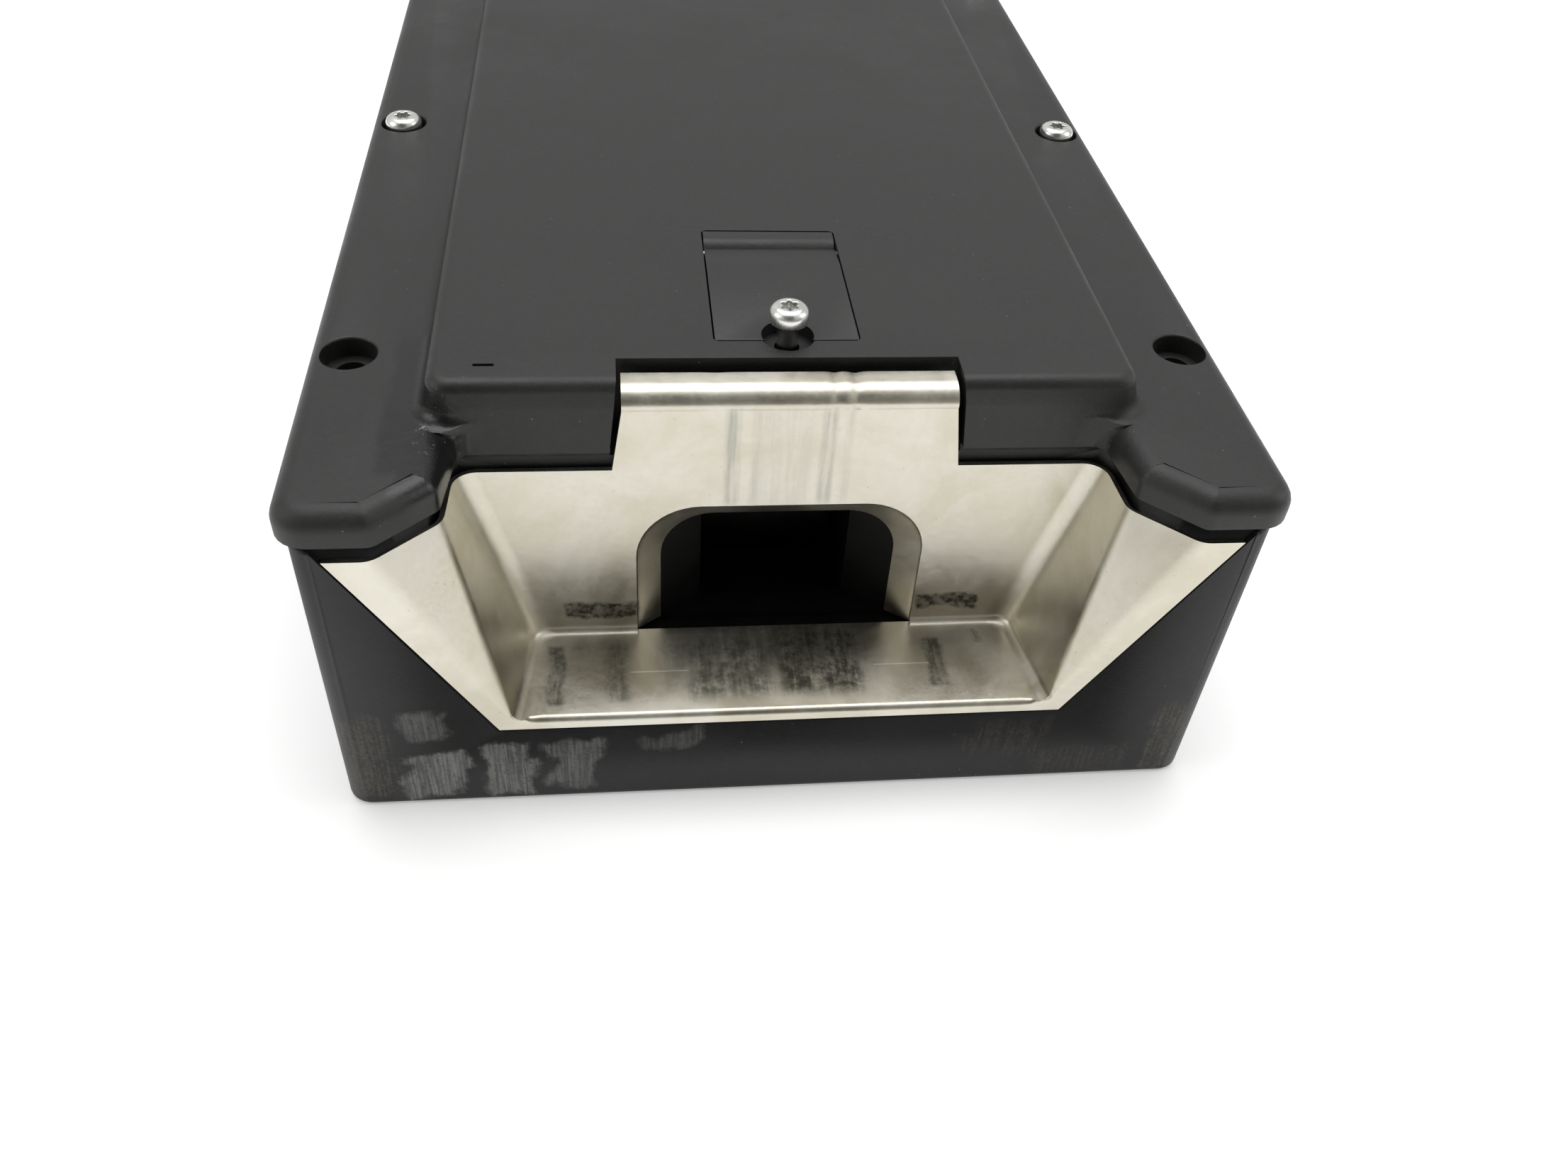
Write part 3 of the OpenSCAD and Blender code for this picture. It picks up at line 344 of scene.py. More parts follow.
class Shader:
    """A small helper for building a node material. Its textures are laid out in millimetres."""

    def __init__(self, name):
        self.material = bpy.data.materials.new(name)
        self.material.use_nodes = True
        self.nodes = self.material.node_tree.nodes
        self.links = self.material.node_tree.links
        self.bsdf = self.nodes["Principled BSDF"]
        coords = self.nodes.new("ShaderNodeTexCoord")
        scale = self.nodes.new("ShaderNodeVectorMath")
        scale.operation = "SCALE"
        scale.inputs["Scale"].default_value = 1 / MM
        self.links.new(coords.outputs["Object"], scale.inputs[0])
        self.place = scale.outputs[0]
        split = self.nodes.new("ShaderNodeSeparateXYZ")
        self.links.new(self.place, split.inputs[0])
        self.axes = split.outputs
        self.ragged = self.axes

    def make_ragged(self, reach, scale):
        """Lets the edges of patches wander by up to about half of reach."""
        noise = self.nodes.new("ShaderNodeTexNoise")
        noise.inputs["Scale"].default_value = scale
        noise.inputs["Detail"].default_value = 4.0
        noise.inputs["Roughness"].default_value = 0.6
        self.links.new(self.place, noise.inputs["Vector"])
        shift = self.nodes.new("ShaderNodeVectorMath")
        shift.operation = "MULTIPLY_ADD"
        self.links.new(noise.outputs["Color"], shift.inputs[0])
        shift.inputs[1].default_value = (reach, 0.0, reach)
        shift.inputs[2].default_value = (-reach / 2, 0.0, -reach / 2)
        moved = self.nodes.new("ShaderNodeVectorMath")
        moved.operation = "ADD"
        self.links.new(self.place, moved.inputs[0])
        self.links.new(shift.outputs[0], moved.inputs[1])
        split = self.nodes.new("ShaderNodeSeparateXYZ")
        self.links.new(moved.outputs[0], split.inputs[0])
        self.ragged = split.outputs

    def feed(self, socket, value):
        if isinstance(value, bpy.types.NodeSocket):
            self.links.new(value, socket)
        else:
            socket.default_value = value

    def math(self, operation, a, b=0.0):
        node = self.nodes.new("ShaderNodeMath")
        node.operation = operation
        self.feed(node.inputs[0], a)
        self.feed(node.inputs[1], b)
        return node.outputs[0]

    def times(self, a, b):
        return self.math("MULTIPLY", a, b)

    def stretch(self, factors):
        node = self.nodes.new("ShaderNodeVectorMath")
        node.operation = "MULTIPLY"
        self.links.new(self.place, node.inputs[0])
        node.inputs[1].default_value = factors
        return node.outputs[0]

    def noise(self, scale, detail=3.0, rough=0.55, place=None, distort=0.0):
        """Noise with scale in waves per millimetre."""
        node = self.nodes.new("ShaderNodeTexNoise")
        node.inputs["Scale"].default_value = scale
        node.inputs["Detail"].default_value = detail
        node.inputs["Roughness"].default_value = rough
        node.inputs["Distortion"].default_value = distort
        self.links.new(place or self.place, node.inputs["Vector"])
        return node.outputs["Fac"]

    def cells(self, scale):
        """Distance to the middle of cells, with scale in cells per millimetre."""
        node = self.nodes.new("ShaderNodeTexVoronoi")
        node.inputs["Scale"].default_value = scale
        self.links.new(self.place, node.inputs["Vector"])
        return node.outputs["Distance"]

    def ramp(self, value, low, high, out_low=0.0, out_high=1.0):
        """Maps low..high smoothly onto out_low..out_high."""
        node = self.nodes.new("ShaderNodeMapRange")
        node.interpolation_type = "SMOOTHSTEP"
        self.feed(node.inputs["Value"], value)
        set_range(node, low, high, out_low, out_high)
        return node.outputs["Result"]

    def near(self, axis, middle, half, soft, axes=None):
        """1 within half of middle along an axis, falling to 0 over soft."""
        off = self.math("ABSOLUTE", self.math("SUBTRACT", (axes or self.axes)[axis], middle))
        return self.ramp(off, half, half + soft, 1.0, 0.0)

    def patch(self, x, half_x, y, half_y, z, half_z, soft=1.0):
        """1 inside a box with soft, ragged edges."""
        across = self.near("X", x, half_x, soft, self.ragged)
        along = self.near("Y", y, half_y, soft, self.ragged)
        plan = self.times(across, along)
        return self.times(plan, self.near("Z", z, half_z, soft, self.ragged))

    def flat_patch(self, x, half_x, y, half_y, z, soft=1.0):
        """1 inside a soft, ragged rectangle on the level face at height z."""
        across = self.near("X", x, half_x, soft, self.ragged)
        along = self.near("Y", y, half_y, soft)
        return self.times(self.times(across, along), self.near("Z", z, 0.3, 0.3))

    def strongest(self, shares):
        """The largest of some shares."""
        out = shares[0]
        for share in shares[1:]:
            out = self.math("MAXIMUM", out, share)
        return out

    def mix(self, share, first, second):
        node = self.nodes.new("ShaderNodeMix")
        node.data_type = "RGBA"
        node.clamp_factor = True
        self.feed(node.inputs[0], share)
        self.feed(node.inputs[6], first)
        self.feed(node.inputs[7], second)
        return node.outputs[2]

    def bump(self, height, strength, distance, under=None):
        node = self.nodes.new("ShaderNodeBump")
        node.inputs["Strength"].default_value = strength
        node.inputs["Distance"].default_value = distance * MM
        self.links.new(height, node.inputs["Height"])
        if under is not None:
            self.links.new(under, node.inputs["Normal"])
        return node.outputs["Normal"]

    def done(self, color, rough, normal=None, **fixed):
        """Connects the shader and returns the material. Fixed numbers go by socket name, with _ for a space."""
        self.feed(self.bsdf.inputs["Base Color"], color)
        self.feed(self.bsdf.inputs["Roughness"], rough)
        if normal is not None:
            self.links.new(normal, self.bsdf.inputs["Normal"])
        for name, value in fixed.items():
            self.bsdf.inputs[name.replace("_", " ")].default_value = value
        return self.material


def rgb(r, g, b):
    return (r, g, b, 1.0)


def worn_plastic(name, tone, shine=0.5, scuffs=False, flange_reflection=False):
    """Dark glass-filled plastic: fine spark texture, faint cloudiness, dust specks, rubbed places and, where
    asked, a painted reflection on the flange beside the plateau.
    """
    s = Shader(name)
    cloud = s.noise(0.06, 4, 0.6)
    mottle = s.noise(0.9, 3, 0.6)
    grain = s.noise(2.4, 3, 0.7)
    color = s.mix(s.ramp(cloud, 0.35, 0.7), rgb(*tone), rgb(*[c * 1.4 for c in tone]))
    color = s.mix(s.times(s.ramp(mottle, 0.45, 0.75), 0.5), color, rgb(*[c * 1.9 for c in tone]))
    color = s.mix(s.times(s.ramp(grain, 0.5, 0.75), 0.5), color, rgb(*[c * 2.2 for c in tone]))
    specks = s.times(s.ramp(s.cells(0.16), 0.012, 0.035, 1.0, 0.0),
                     s.ramp(s.noise(0.07, 2), 0.48, 0.56))
    dust = s.times(s.ramp(s.cells(0.55), 0.04, 0.07, 1.0, 0.0),
                   s.ramp(s.noise(0.2, 2), 0.5, 0.6))
    color = s.mix(s.times(s.math("MAXIMUM", specks, dust), 0.5), color, rgb(0.2, 0.2, 0.18))
    rough = s.ramp(cloud, 0.3, 0.7, 0.42, 0.52)
    if scuffs:
        color, rough = front_scuffs(s, color, rough)
    # Painted reflection: the flange beside the plateau is darkened as if it mirrored the plateau's dark side
    # wall.
    if flange_reflection:
        color, rough = flange_reflection_and_chips(s, color, rough)
    normal = s.bump(grain, 0.6, 0.06)
    return s.done(color, rough, normal, Specular_IOR_Level=shine)


def flange_reflection_and_chips(s, color, rough):
    """A darker, glossier strip on the flange at the left front foot of the plateau, running on to the front
    corner, with a few pale chips. The darkening is a painted reflection of the plateau's dark side wall; the
    chips are real damage.
    """
    s.make_ragged(3.0, 0.25)
    foot = s.times(s.near("X", -42.6, 2.4, 1.6, s.ragged), s.near("Y", FRONT_Y + 19.0, 12.0, 3.0))
    corner = s.times(s.near("X", -40.5, 2.4, 1.4, s.ragged), s.near("Y", FRONT_Y + 9.0, 5.5, 2.0))
    share = s.times(s.math("MAXIMUM", foot, corner), s.near("Z", FLANGE_Z, 3.4, 1.0))
    # Painted reflection: darkens the flange where it would mirror the plateau's dark side wall.
    color = s.mix(s.times(share, 0.7), color, rgb(0.005, 0.005, 0.005))
    rough = s.math("SUBTRACT", rough, s.times(share, 0.2))
    chips = s.times(s.ramp(s.noise(1.1, 3, 0.7), 0.63, 0.69), s.near("X", -40.2, 1.2, 0.8))
    chips = s.times(chips, s.near("Y", FRONT_Y + 13.0, 2.6, 1.0))
    return s.mix(s.times(chips, 0.6), color, rgb(0.3, 0.3, 0.28)), rough


# Rubs and dirt on the front of the base: x, half width, z, half height, strength
FRONT_RUBS = ((-43.6, 3.0, 5.4, 3.4, 0.95), (-43.6, 1.8, 14.4, 1.2, 0.5), (-34.4, 2.4, 5.8, 4.6, 0.8),
              (-26.6, 2.4, 6.9, 3.6, 0.55), (-14.0, 2.4, 10.6, 0.9, 0.3))
FRONT_DIRT = ((-52.0, 2.6, 8.4, 6.4, 0.5), (29.0, 4.5, 8.5, 1.8, 0.2),
              (40.0, 5.0, 4.0, 1.5, 0.22), (51.0, 1.4, 7.0, 5.6, 0.5))


def front_scuffs(s, color, rough):
    """Pale brushed rubs and brownish dirt low on the front of the base."""
    s.make_ragged(8.0, 0.17)
    brush = s.noise(3.2, 4, 0.62, s.stretch((1.0, 1.0, 0.05)))
    grit = s.noise(2.2, 5, 0.7)
    rubs = s.strongest([s.times(s.patch(x, half_x, FRONT_Y, 1.0, z, half_z, 1.3), amount)
                        for x, half_x, z, half_z, amount in FRONT_RUBS])
    rubbed = s.times(rubs, s.ramp(brush, 0.3, 0.7, 0.3, 1.0))
    rubbed = s.times(rubbed, s.ramp(grit, 0.32, 0.5, 0.5, 1.0))
    color = s.mix(rubbed, color, rgb(0.24, 0.245, 0.235))
    dirt = s.strongest([s.times(s.patch(x, half_x, FRONT_Y, 2.5, z, half_z, 2.2), amount)
                        for x, half_x, z, half_z, amount in FRONT_DIRT])
    dirt = s.times(dirt, s.ramp(s.math("ADD", s.times(brush, 0.5), s.times(grit, 0.5)), 0.4, 0.66))
    color = s.mix(dirt, color, rgb(0.15, 0.135, 0.095))
    rough = s.math("ADD", rough, s.times(s.math("MAXIMUM", rubbed, dirt), 0.18))
    return color, rough


def pressed_metal(name):
    """Dull nickel-plated sheet: faint rolling lines, cloudy stains, rub marks and two scribed lines."""
    s = Shader(name)
    cloud = s.noise(0.09, 5, 0.62, distort=0.4)
    fine = s.noise(2.5, 3, 0.6)
    lines = s.noise(1.6, 3, 0.6, s.stretch((1.0, 1.0, 0.05)))
    color = s.mix(s.ramp(cloud, 0.3, 0.72), rgb(0.57, 0.535, 0.435), rgb(0.715, 0.69, 0.61))
    speck = s.times(s.ramp(s.cells(0.9), 0.05, 0.1, 1.0, 0.0), s.ramp(s.noise(0.5, 2), 0.52, 0.62))
    color = s.mix(s.times(speck, 0.5), color, rgb(0.16, 0.14, 0.1))
    rough = s.ramp(cloud, 0.3, 0.75, 0.3, 0.42)
    rough = s.math("ADD", rough, s.ramp(fine, 0.3, 0.8, -0.03, 0.05))
    color, rough = tab_streaks(s, color, rough, lines)
    color, rough = floor_rubs(s, color, rough)
    normal = s.bump(fine, 0.12, 0.03)
    normal = s.bump(cloud, 0.25, 0.25, normal)
    return s.done(color, rough, normal, Metallic=1.0)


# Streaks down the tab: x, half width, strength
TAB_STREAKS = ((-6.6, 0.5, 0.75), (-3.9, 0.2, 0.35), (4.6, 0.5, 0.55), (7.0, 0.12, 0.3), (-0.6, 3.0, 0.2))


def tab_streaks(s, color, rough, lines):
    """Grey vertical streaks down the tab, above the arch."""
    mask = s.strongest([s.times(s.near("X", x, half, 0.7), amount)
                        for x, half, amount in TAB_STREAKS])
    mask = s.times(mask, s.near("Z", 43.0, 6.0, 2.0))
    mask = s.times(mask, s.near("Y", FRONT_Y + BACK_D, 0.4, 0.6))
    worn = s.times(mask, s.ramp(lines, 0.35, 0.6, 0.3, 1.0))
    color = s.mix(worn, color, rgb(0.42, 0.41, 0.37))
    return color, s.math("ADD", rough, s.times(worn, 0.12))


# Rub marks on the funnel's floor: x, half width, depth, half depth, softness, strength
FLOOR_RUBS = ((-6.5, 3.4, 8.0, 3.6, 3.6, 0.85), (5.0, 4.0, 8.6, 4.2, 3.2, 0.95),
              (-1.0, 7.0, 11.0, 2.6, 2.6, 0.7), (-12.5, 0.8, 9.8, 1.4, 1.6, 0.5),
              (-21.0, 0.8, 7.4, 4.2, 1.3, 0.7), (-28.3, 0.7, 7.2, 4.6, 0.9, 0.85),
              (20.3, 0.8, 7.6, 3.8, 0.9, 0.85), (26.6, 0.25, 12.0, 1.0, 0.5, 0.6))
# Smudges on the back wall beside the arch: x, half width
BACK_SMUDGES = ((-22.6, 4.2), (22.6, 3.8))


def floor_rubs(s, color, rough):
    """Black rub marks on the floor and beside the arch, left by the tongue, and two bright scribed lines."""
    s.make_ragged(3.0, 0.22)
    grit = s.noise(0.75, 7, 0.72)
    streak = s.noise(1.2, 4, 0.65, s.stretch((1.0, 0.1, 1.0)))
    marks = [s.times(s.flat_patch(x, half_x, FRONT_Y + d, half_d, FLOOR_Z, soft), amount)
             for x, half_x, d, half_d, soft, amount in FLOOR_RUBS]
    back = s.near("Y", FRONT_Y + BACK_D, 0.4, 0.3)
    for x, half in BACK_SMUDGES:
        smudge = s.times(s.near("X", x, half, 0.7, s.ragged), s.near("Z", 18.8, 0.9, 0.7, s.ragged))
        marks.append(s.times(smudge, back))
    pattern = s.ramp(s.math("ADD", s.times(grit, 0.55), s.times(streak, 0.45)),
                     0.34, 0.6, 0.25, 1.0)
    worn = s.times(s.strongest(marks), pattern)
    color = s.mix(worn, color, rgb(0.05, 0.048, 0.036))
    rough = s.math("ADD", rough, s.times(worn, 0.12))
    scribe = s.times(s.near("Y", FRONT_Y + 7.4, 0.07, 0.06), s.near("Z", FLOOR_Z, 0.3, 0.2))
    both = s.math("MAXIMUM", s.near("X", -15.4, 3.6, 0.1), s.near("X", 15.6, 3.6, 0.1))
    return s.mix(s.times(scribe, both), color, rgb(0.95, 0.94, 0.9)), rough


def plain_metal(name, tone, rough_low, rough_high, scratch=0.2):
    s = Shader(name)
    cloud = s.noise(0.5, 4, 0.6)
    fine = s.noise(6.0, 3, 0.6)
    color = s.mix(s.ramp(cloud, 0.3, 0.7), rgb(*tone), rgb(*[min(1, c * 1.2) for c in tone]))
    color = s.mix(s.times(s.ramp(fine, 0.6, 0.8), 0.35), color, rgb(*[c * 0.5 for c in tone]))
    rough = s.ramp(cloud, 0.3, 0.7, rough_low, rough_high)
    return s.done(color, rough, s.bump(fine, scratch, 0.03), Metallic=1.0)


def plain_plastic(name, tone, rough_low, rough_high, shine=0.5):
    s = Shader(name)
    cloud = s.noise(0.3, 4, 0.6)
    fine = s.noise(4.0, 3, 0.6)
    color = s.mix(s.ramp(cloud, 0.3, 0.7), rgb(*tone), rgb(*[min(1, c * 1.25) for c in tone]))
    rough = s.ramp(cloud, 0.3, 0.7, rough_low, rough_high)
    return s.done(color, rough, s.bump(fine, 0.2, 0.03), Specular_IOR_Level=shine)


def floor_paper(name):
    s = Shader(name)
    cloud = s.noise(0.01, 2, 0.5)
    color = s.mix(s.ramp(cloud, 0.3, 0.7), rgb(0.96, 0.96, 0.96), rgb(0.98, 0.98, 0.98))
    return s.done(color, 0.9, Emission_Color=rgb(1, 1, 1), Emission_Strength=0.28)


MATERIALS = {
    # The base's plastic is toned darker than the lid's: painted shade for the base's front faces, which turn
    # away from the light.
    "housing": worn_plastic("base_plastic", (0.0065, 0.0065, 0.007), 0.42, scuffs=True),
    # The lid carries a painted reflection of the plateau's dark side wall on its flange.
    "lid": worn_plastic("lid_plastic", (0.0095, 0.0097, 0.009), 0.5, flange_reflection=True),
    "funnel": pressed_metal("pressed_nickel"),
    "black_plastic": plain_plastic("black_plastic", (0.004, 0.004, 0.004), 0.4, 0.55, 0.22),
    "rubber": plain_plastic("rubber", (0.012, 0.012, 0.012), 0.6, 0.75),
    "zinc": plain_metal("zinc_plate", (0.74, 0.74, 0.72), 0.16, 0.3),
    "steel": plain_metal("milled_steel", (0.5, 0.5, 0.51), 0.28, 0.42),
    "brass": plain_metal("turned_brass", (0.72, 0.5, 0.2), 0.22, 0.36),
    # The wheel is light sintered metal; it is coloured near black as painted shade for the dark tunnel behind
    # the arch.
    "wheel": plain_metal("wheel_darkened_as_shade", (0.06, 0.06, 0.06), 0.45, 0.6),
    "bobbin": plain_plastic("natural_nylon", (0.66, 0.64, 0.55), 0.35, 0.5),
    "copper": plain_metal("copper_winding", (0.55, 0.22, 0.08), 0.25, 0.4),
    "switch_red": plain_plastic("red_plastic", (0.35, 0.03, 0.02), 0.3, 0.42),
    "button": plain_plastic("ivory_plastic", (0.72, 0.7, 0.6), 0.25, 0.4),
    "board": plain_plastic("solder_resist", (0.02, 0.14, 0.05), 0.22, 0.35),
    "terminal": plain_plastic("grey_plastic", (0.5, 0.5, 0.46), 0.4, 0.55),
}


# ---------------------------------------------------------------- pieces

def lid_outline():
    """The plan of the lid's flange, cut away in front of the plateau for the funnel."""
    side = [(LIP_X, -OVERHANG), (39.0, 4.9), (38.0, 13.4), (36.6, PLATEAU_D)]
    radii = [0.6, 1.6, 1.8, 2.0]
    far = LENGTH + OVERHANG
    outer = [(LID_HALF_W, -OVERHANG), (LID_HALF_W, far), (-LID_HALF_W, far), (-LID_HALF_W, -OVERHANG)]
    path = [(-x, d) for x, d in side] + side[::-1] + outer
    rounds = radii[::-1] + radii + [LID_CORNER_R] * 4
    path.reverse()
    rounds.reverse()
    return rounded(path, rounds, 7)


def build_lid():
    """The lid: a flange with a rounded edge, its plateau, and the pockets, wells and notch cut into it."""
    outline = lid_outline()
    area = sum(a.x * b.y - b.x * a.y for a, b in zip(outline, outline[1:] + outline[:1]))
    if area < 0:
        outline.reverse()
    profile = [(0.45, LID_Z), (0.0, LID_Z + 0.4), (0.0, LID_Z + 2.1)]
    profile += arc_profile(2.6, FLANGE_Z, 0.0, LID_Z + 2.1, 7)
    lid = stacked("lid_shell", outline, profile)
    combine(lid, [build_plateau()], "UNION")
    combine(lid, lid_hollows(), "DIFFERENCE")
    combine(lid, lid_wells(), "UNION")
    combine(lid, lid_cuts(), "DIFFERENCE")
    finish_piece(lid, "housing", MATERIALS["lid"], ["lid"], 32)


def build_plateau():
    """The raised middle of the lid, with a hollow fillet at its foot where it stands on the flange."""
    rear = LENGTH - PLATEAU_REAR
    corners = soft_rectangle(-PLATEAU_HALF, PLATEAU_HALF, PLATEAU_D, rear, CORNER_R, 8)
    outline = []
    for a, b in zip(corners, corners[1:] + corners[:1]):
        outline.append(a)
        pieces = int((b - a).length // 2.0)
        outline += [a.lerp(b, k / (pieces + 1)) for k in range(1, pieces + 1)]
    clear = []
    for p in outline:
        over_flange = min(1.0, max(0.0, (abs(p.x) - 36.4) / 2.6))
        clear.append(1.0 if p.y > PLATEAU_D + 4 else over_flange)
    foot = FOOT_FILLET_R
    profile = [(0.0, LID_Z + 0.05), (-foot, FLANGE_Z - 0.4, True)]
    steps = 6
    for k in range(steps + 1):
        turn = k / steps * math.pi / 2
        profile.append((-foot * (1 - math.sin(turn)),
                        FLANGE_Z - 0.02 + foot * (1 - math.cos(turn)), True))
    profile.append((0.35, PLATEAU_Z - 1.7))
    profile += arc_profile(2.0, PLATEAU_Z, 0.35, PLATEAU_Z - 1.7, 7)
    return stacked("plateau", outline, profile, clear)


def lid_hollows():
    """Cutters for the space under the flange and the higher one under the plateau."""
    ceiling = PLATEAU_Z - PLATEAU_WALL
    rear = LENGTH - 6.0
    low = soft_rectangle(-46.0, 46.0, HOLLOW_D, rear, 3.0)
    high = soft_rectangle(-38.4, 38.4, HOLLOW_D, LENGTH - PLATEAU_REAR - PLATEAU_WALL, 3.0)
    return [stacked("low_hollow", low, [(0, LID_Z - 1), (0, LID_Z + 2.0)]),
            stacked("high_hollow", high, [(0, LID_Z - 0.9), (0, ceiling)])]


def lid_wells():
    """The block under the lid that the flap's well is sunk into, and the boss of the release shaft."""
    block = rectangle(FLAP_X - 12, FLAP_X + 12, 21.5, 53.2)
    return [stacked("well_block", block, [(0, PLATEAU_Z - 7.3), (0, PLATEAU_Z - 1)]),
            stacked("shaft_boss", disc(FLAP_X, SHAFT_D, SHAFT_BOSS_R),
                    [(0, PLATEAU_Z - 9.3), (0, PLATEAU_Z - 6.3)])]


def lid_cuts():
    """Cutters for the screw pockets, the flap's recess, well and screw, the release shaft and the notch."""
    cuts = []
    for side in (-1, 1):
        for depth in SCREW_DEPTHS:
            pocket = disc(side * SCREW_X, depth, POCKET_R)
            cuts.append(flared_cut("pocket", pocket, FLANGE_Z - POCKET_DEPTH, FLANGE_Z, 0.35))
            hole = disc(side * SCREW_X, depth, SCREW_HOLE_R, 32)
            cuts.append(stacked("hole", hole, [(0, LID_Z - 1), (0, FLANGE_Z - 1)]))
    recess = soft_rectangle(FLAP_LOW.x - FLAP_GAP, FLAP_HIGH.x + FLAP_GAP,
                            FLAP_FRONT_D - FLAP_GAP, STRIP_HIGH.y - FRONT_Y + FLAP_GAP, 0.7)
    cuts.append(flared_cut("flap_recess", recess, FLAP_LOW.z - 0.05, PLATEAU_Z, 0.06))
    well = soft_rectangle(FLAP_X - WELL_HALF, FLAP_X + WELL_HALF, *WELL_DEPTHS, 1.0)
    cuts.append(stacked("well", well, [(0, PLATEAU_Z - WELL_BELOW), (0, PLATEAU_Z - 1)]))
    pocket = disc(FLAP_SCREW_X, FLAP_SCREW_D, FLAP_POCKET_R)
    cuts.append(flared_cut("flap_pocket", pocket, FLAP_LOW.z - 0.05, PLATEAU_Z, 0.3))
    shank = disc(FLAP_SCREW_X, FLAP_SCREW_D, SHANK_HOLE_R, 32)
    cuts.append(stacked("shank_hole", shank, [(0, PLATEAU_Z - 9), (0, PLATEAU_Z - 2)]))
    insert = disc(FLAP_SCREW_X, FLAP_SCREW_D, INSERT_R, 32)
    cuts.append(stacked("insert_hole", insert, [(0, PLATEAU_Z - 9), (0, PLATEAU_Z - 3.9)]))
    seat = disc(FLAP_X, SHAFT_D, SHAFT_SEAT_R)
    cuts.append(stacked("shaft_seat", seat, [(0, PLATEAU_Z - 4.4), (0, PLATEAU_Z)]))
    bore = disc(FLAP_X, SHAFT_D, SHAFT_HOLE_R)
    cuts.append(stacked("shaft_hole", bore, [(0, PLATEAU_Z - 11), (0, PLATEAU_Z)]))
    mark = soft_rectangle(-35.7, -33.3, 19.05, 19.55, 0.2, 3)
    cuts.append(stacked("mark", mark, [(0, PLATEAU_Z - 0.5), (0, PLATEAU_Z + 1)]))
    cuts.append(tab_notch())
    return cuts


def tab_notch():
    """The notch in the front of the lid that the funnel's tab stands in."""
    low = rectangle(-20.95, 20.95, PLATEAU_D - 3, 20.45)
    high = rectangle(-19.75, 19.75, PLATEAU_D - 3, 20.45)
    skin = Skin()
    rings = [skin.ring(low, LID_Z - 1), skin.ring(high, PLATEAU_Z + 1)]
    skin.bridge(*rings)
    skin.fill(rings[0])
    skin.fill(rings[1])
    return skin.make("tab_notch")


def build_base():
    """The CAD housing trimmed by a rounded block, so that its outer edges are soft."""
    inside = 0.02
    outline = soft_rectangle(-HALF_W + inside, HALF_W - inside, inside, LENGTH - inside, CORNER_R, 8)
    profile = arc_profile(0.8, 0.02, 0.0, 0.8, 5)[::-1]
    profile += [(0.0, 0.8), (0.0, RIM_Z - 0.5), (0.15, RIM_Z - 0.15), (0.5, RIM_Z - 0.01)]
    base = stacked("base_shell", outline, profile)
    source = frame["nodes"]["base_housing"].data.copy()
    tool = bpy.data.objects.new("base_tool", source)
    bpy.context.scene.collection.objects.link(tool)
    work = bmesh.new()
    work.from_mesh(source)
    bmesh.ops.remove_doubles(work, verts=work.verts, dist=0.001 * MM)
    work.to_mesh(source)
    work.free()
    combine(base, [tool], "INTERSECT")
    finish_piece(base, "housing", MATERIALS["housing"], ["base_housing"], 32)


def funnel_half(height, pull=0.0):
    """Half of the funnel's plan at a height: flange edge, two creases of the wing, back corner and back wall.

    Pull moves the walls inwards, where a fillet leads them into the floor.
    """
    share = (height - FLOOR_Z) / (EDGE_Z - FLOOR_Z)
    points = [(FLANGE_TOP_X - (EDGE_Z - height) * FLANGE_SLOPE, 0.0),
              (FLOOR_X + EDGE_SPREAD * share - pull, 0.0),
              (FLOOR_X - 0.02 + CREASE_SPREAD * share - pull, CREASE_D * share + 0.03),
              (BACK_X + BACK_SPREAD * share - pull, BACK_D - pull),
              (TAB_X, BACK_D - pull)]
    return rounded(points, WING_RADII, 6, closed=False)


def arch_outline(shrink_x=1.0, shrink_z=1.0):
    """The arched opening from its left foot over the top to its right foot, as (x, z)."""
    half = ARCH_X * shrink_x
    low = FLOOR_Z + FOOT_R
    top = FLOOR_Z + ARCH_H * shrink_z
    over = rounded([(-half, low), (-half, top), (half, top), (half, low)],
                   [0, ARCH_R * shrink_x, ARCH_R * shrink_x, 0], 12, closed=False)
    return [Vector((-half, FLOOR_Z))] + over + [Vector((half, FLOOR_Z))]


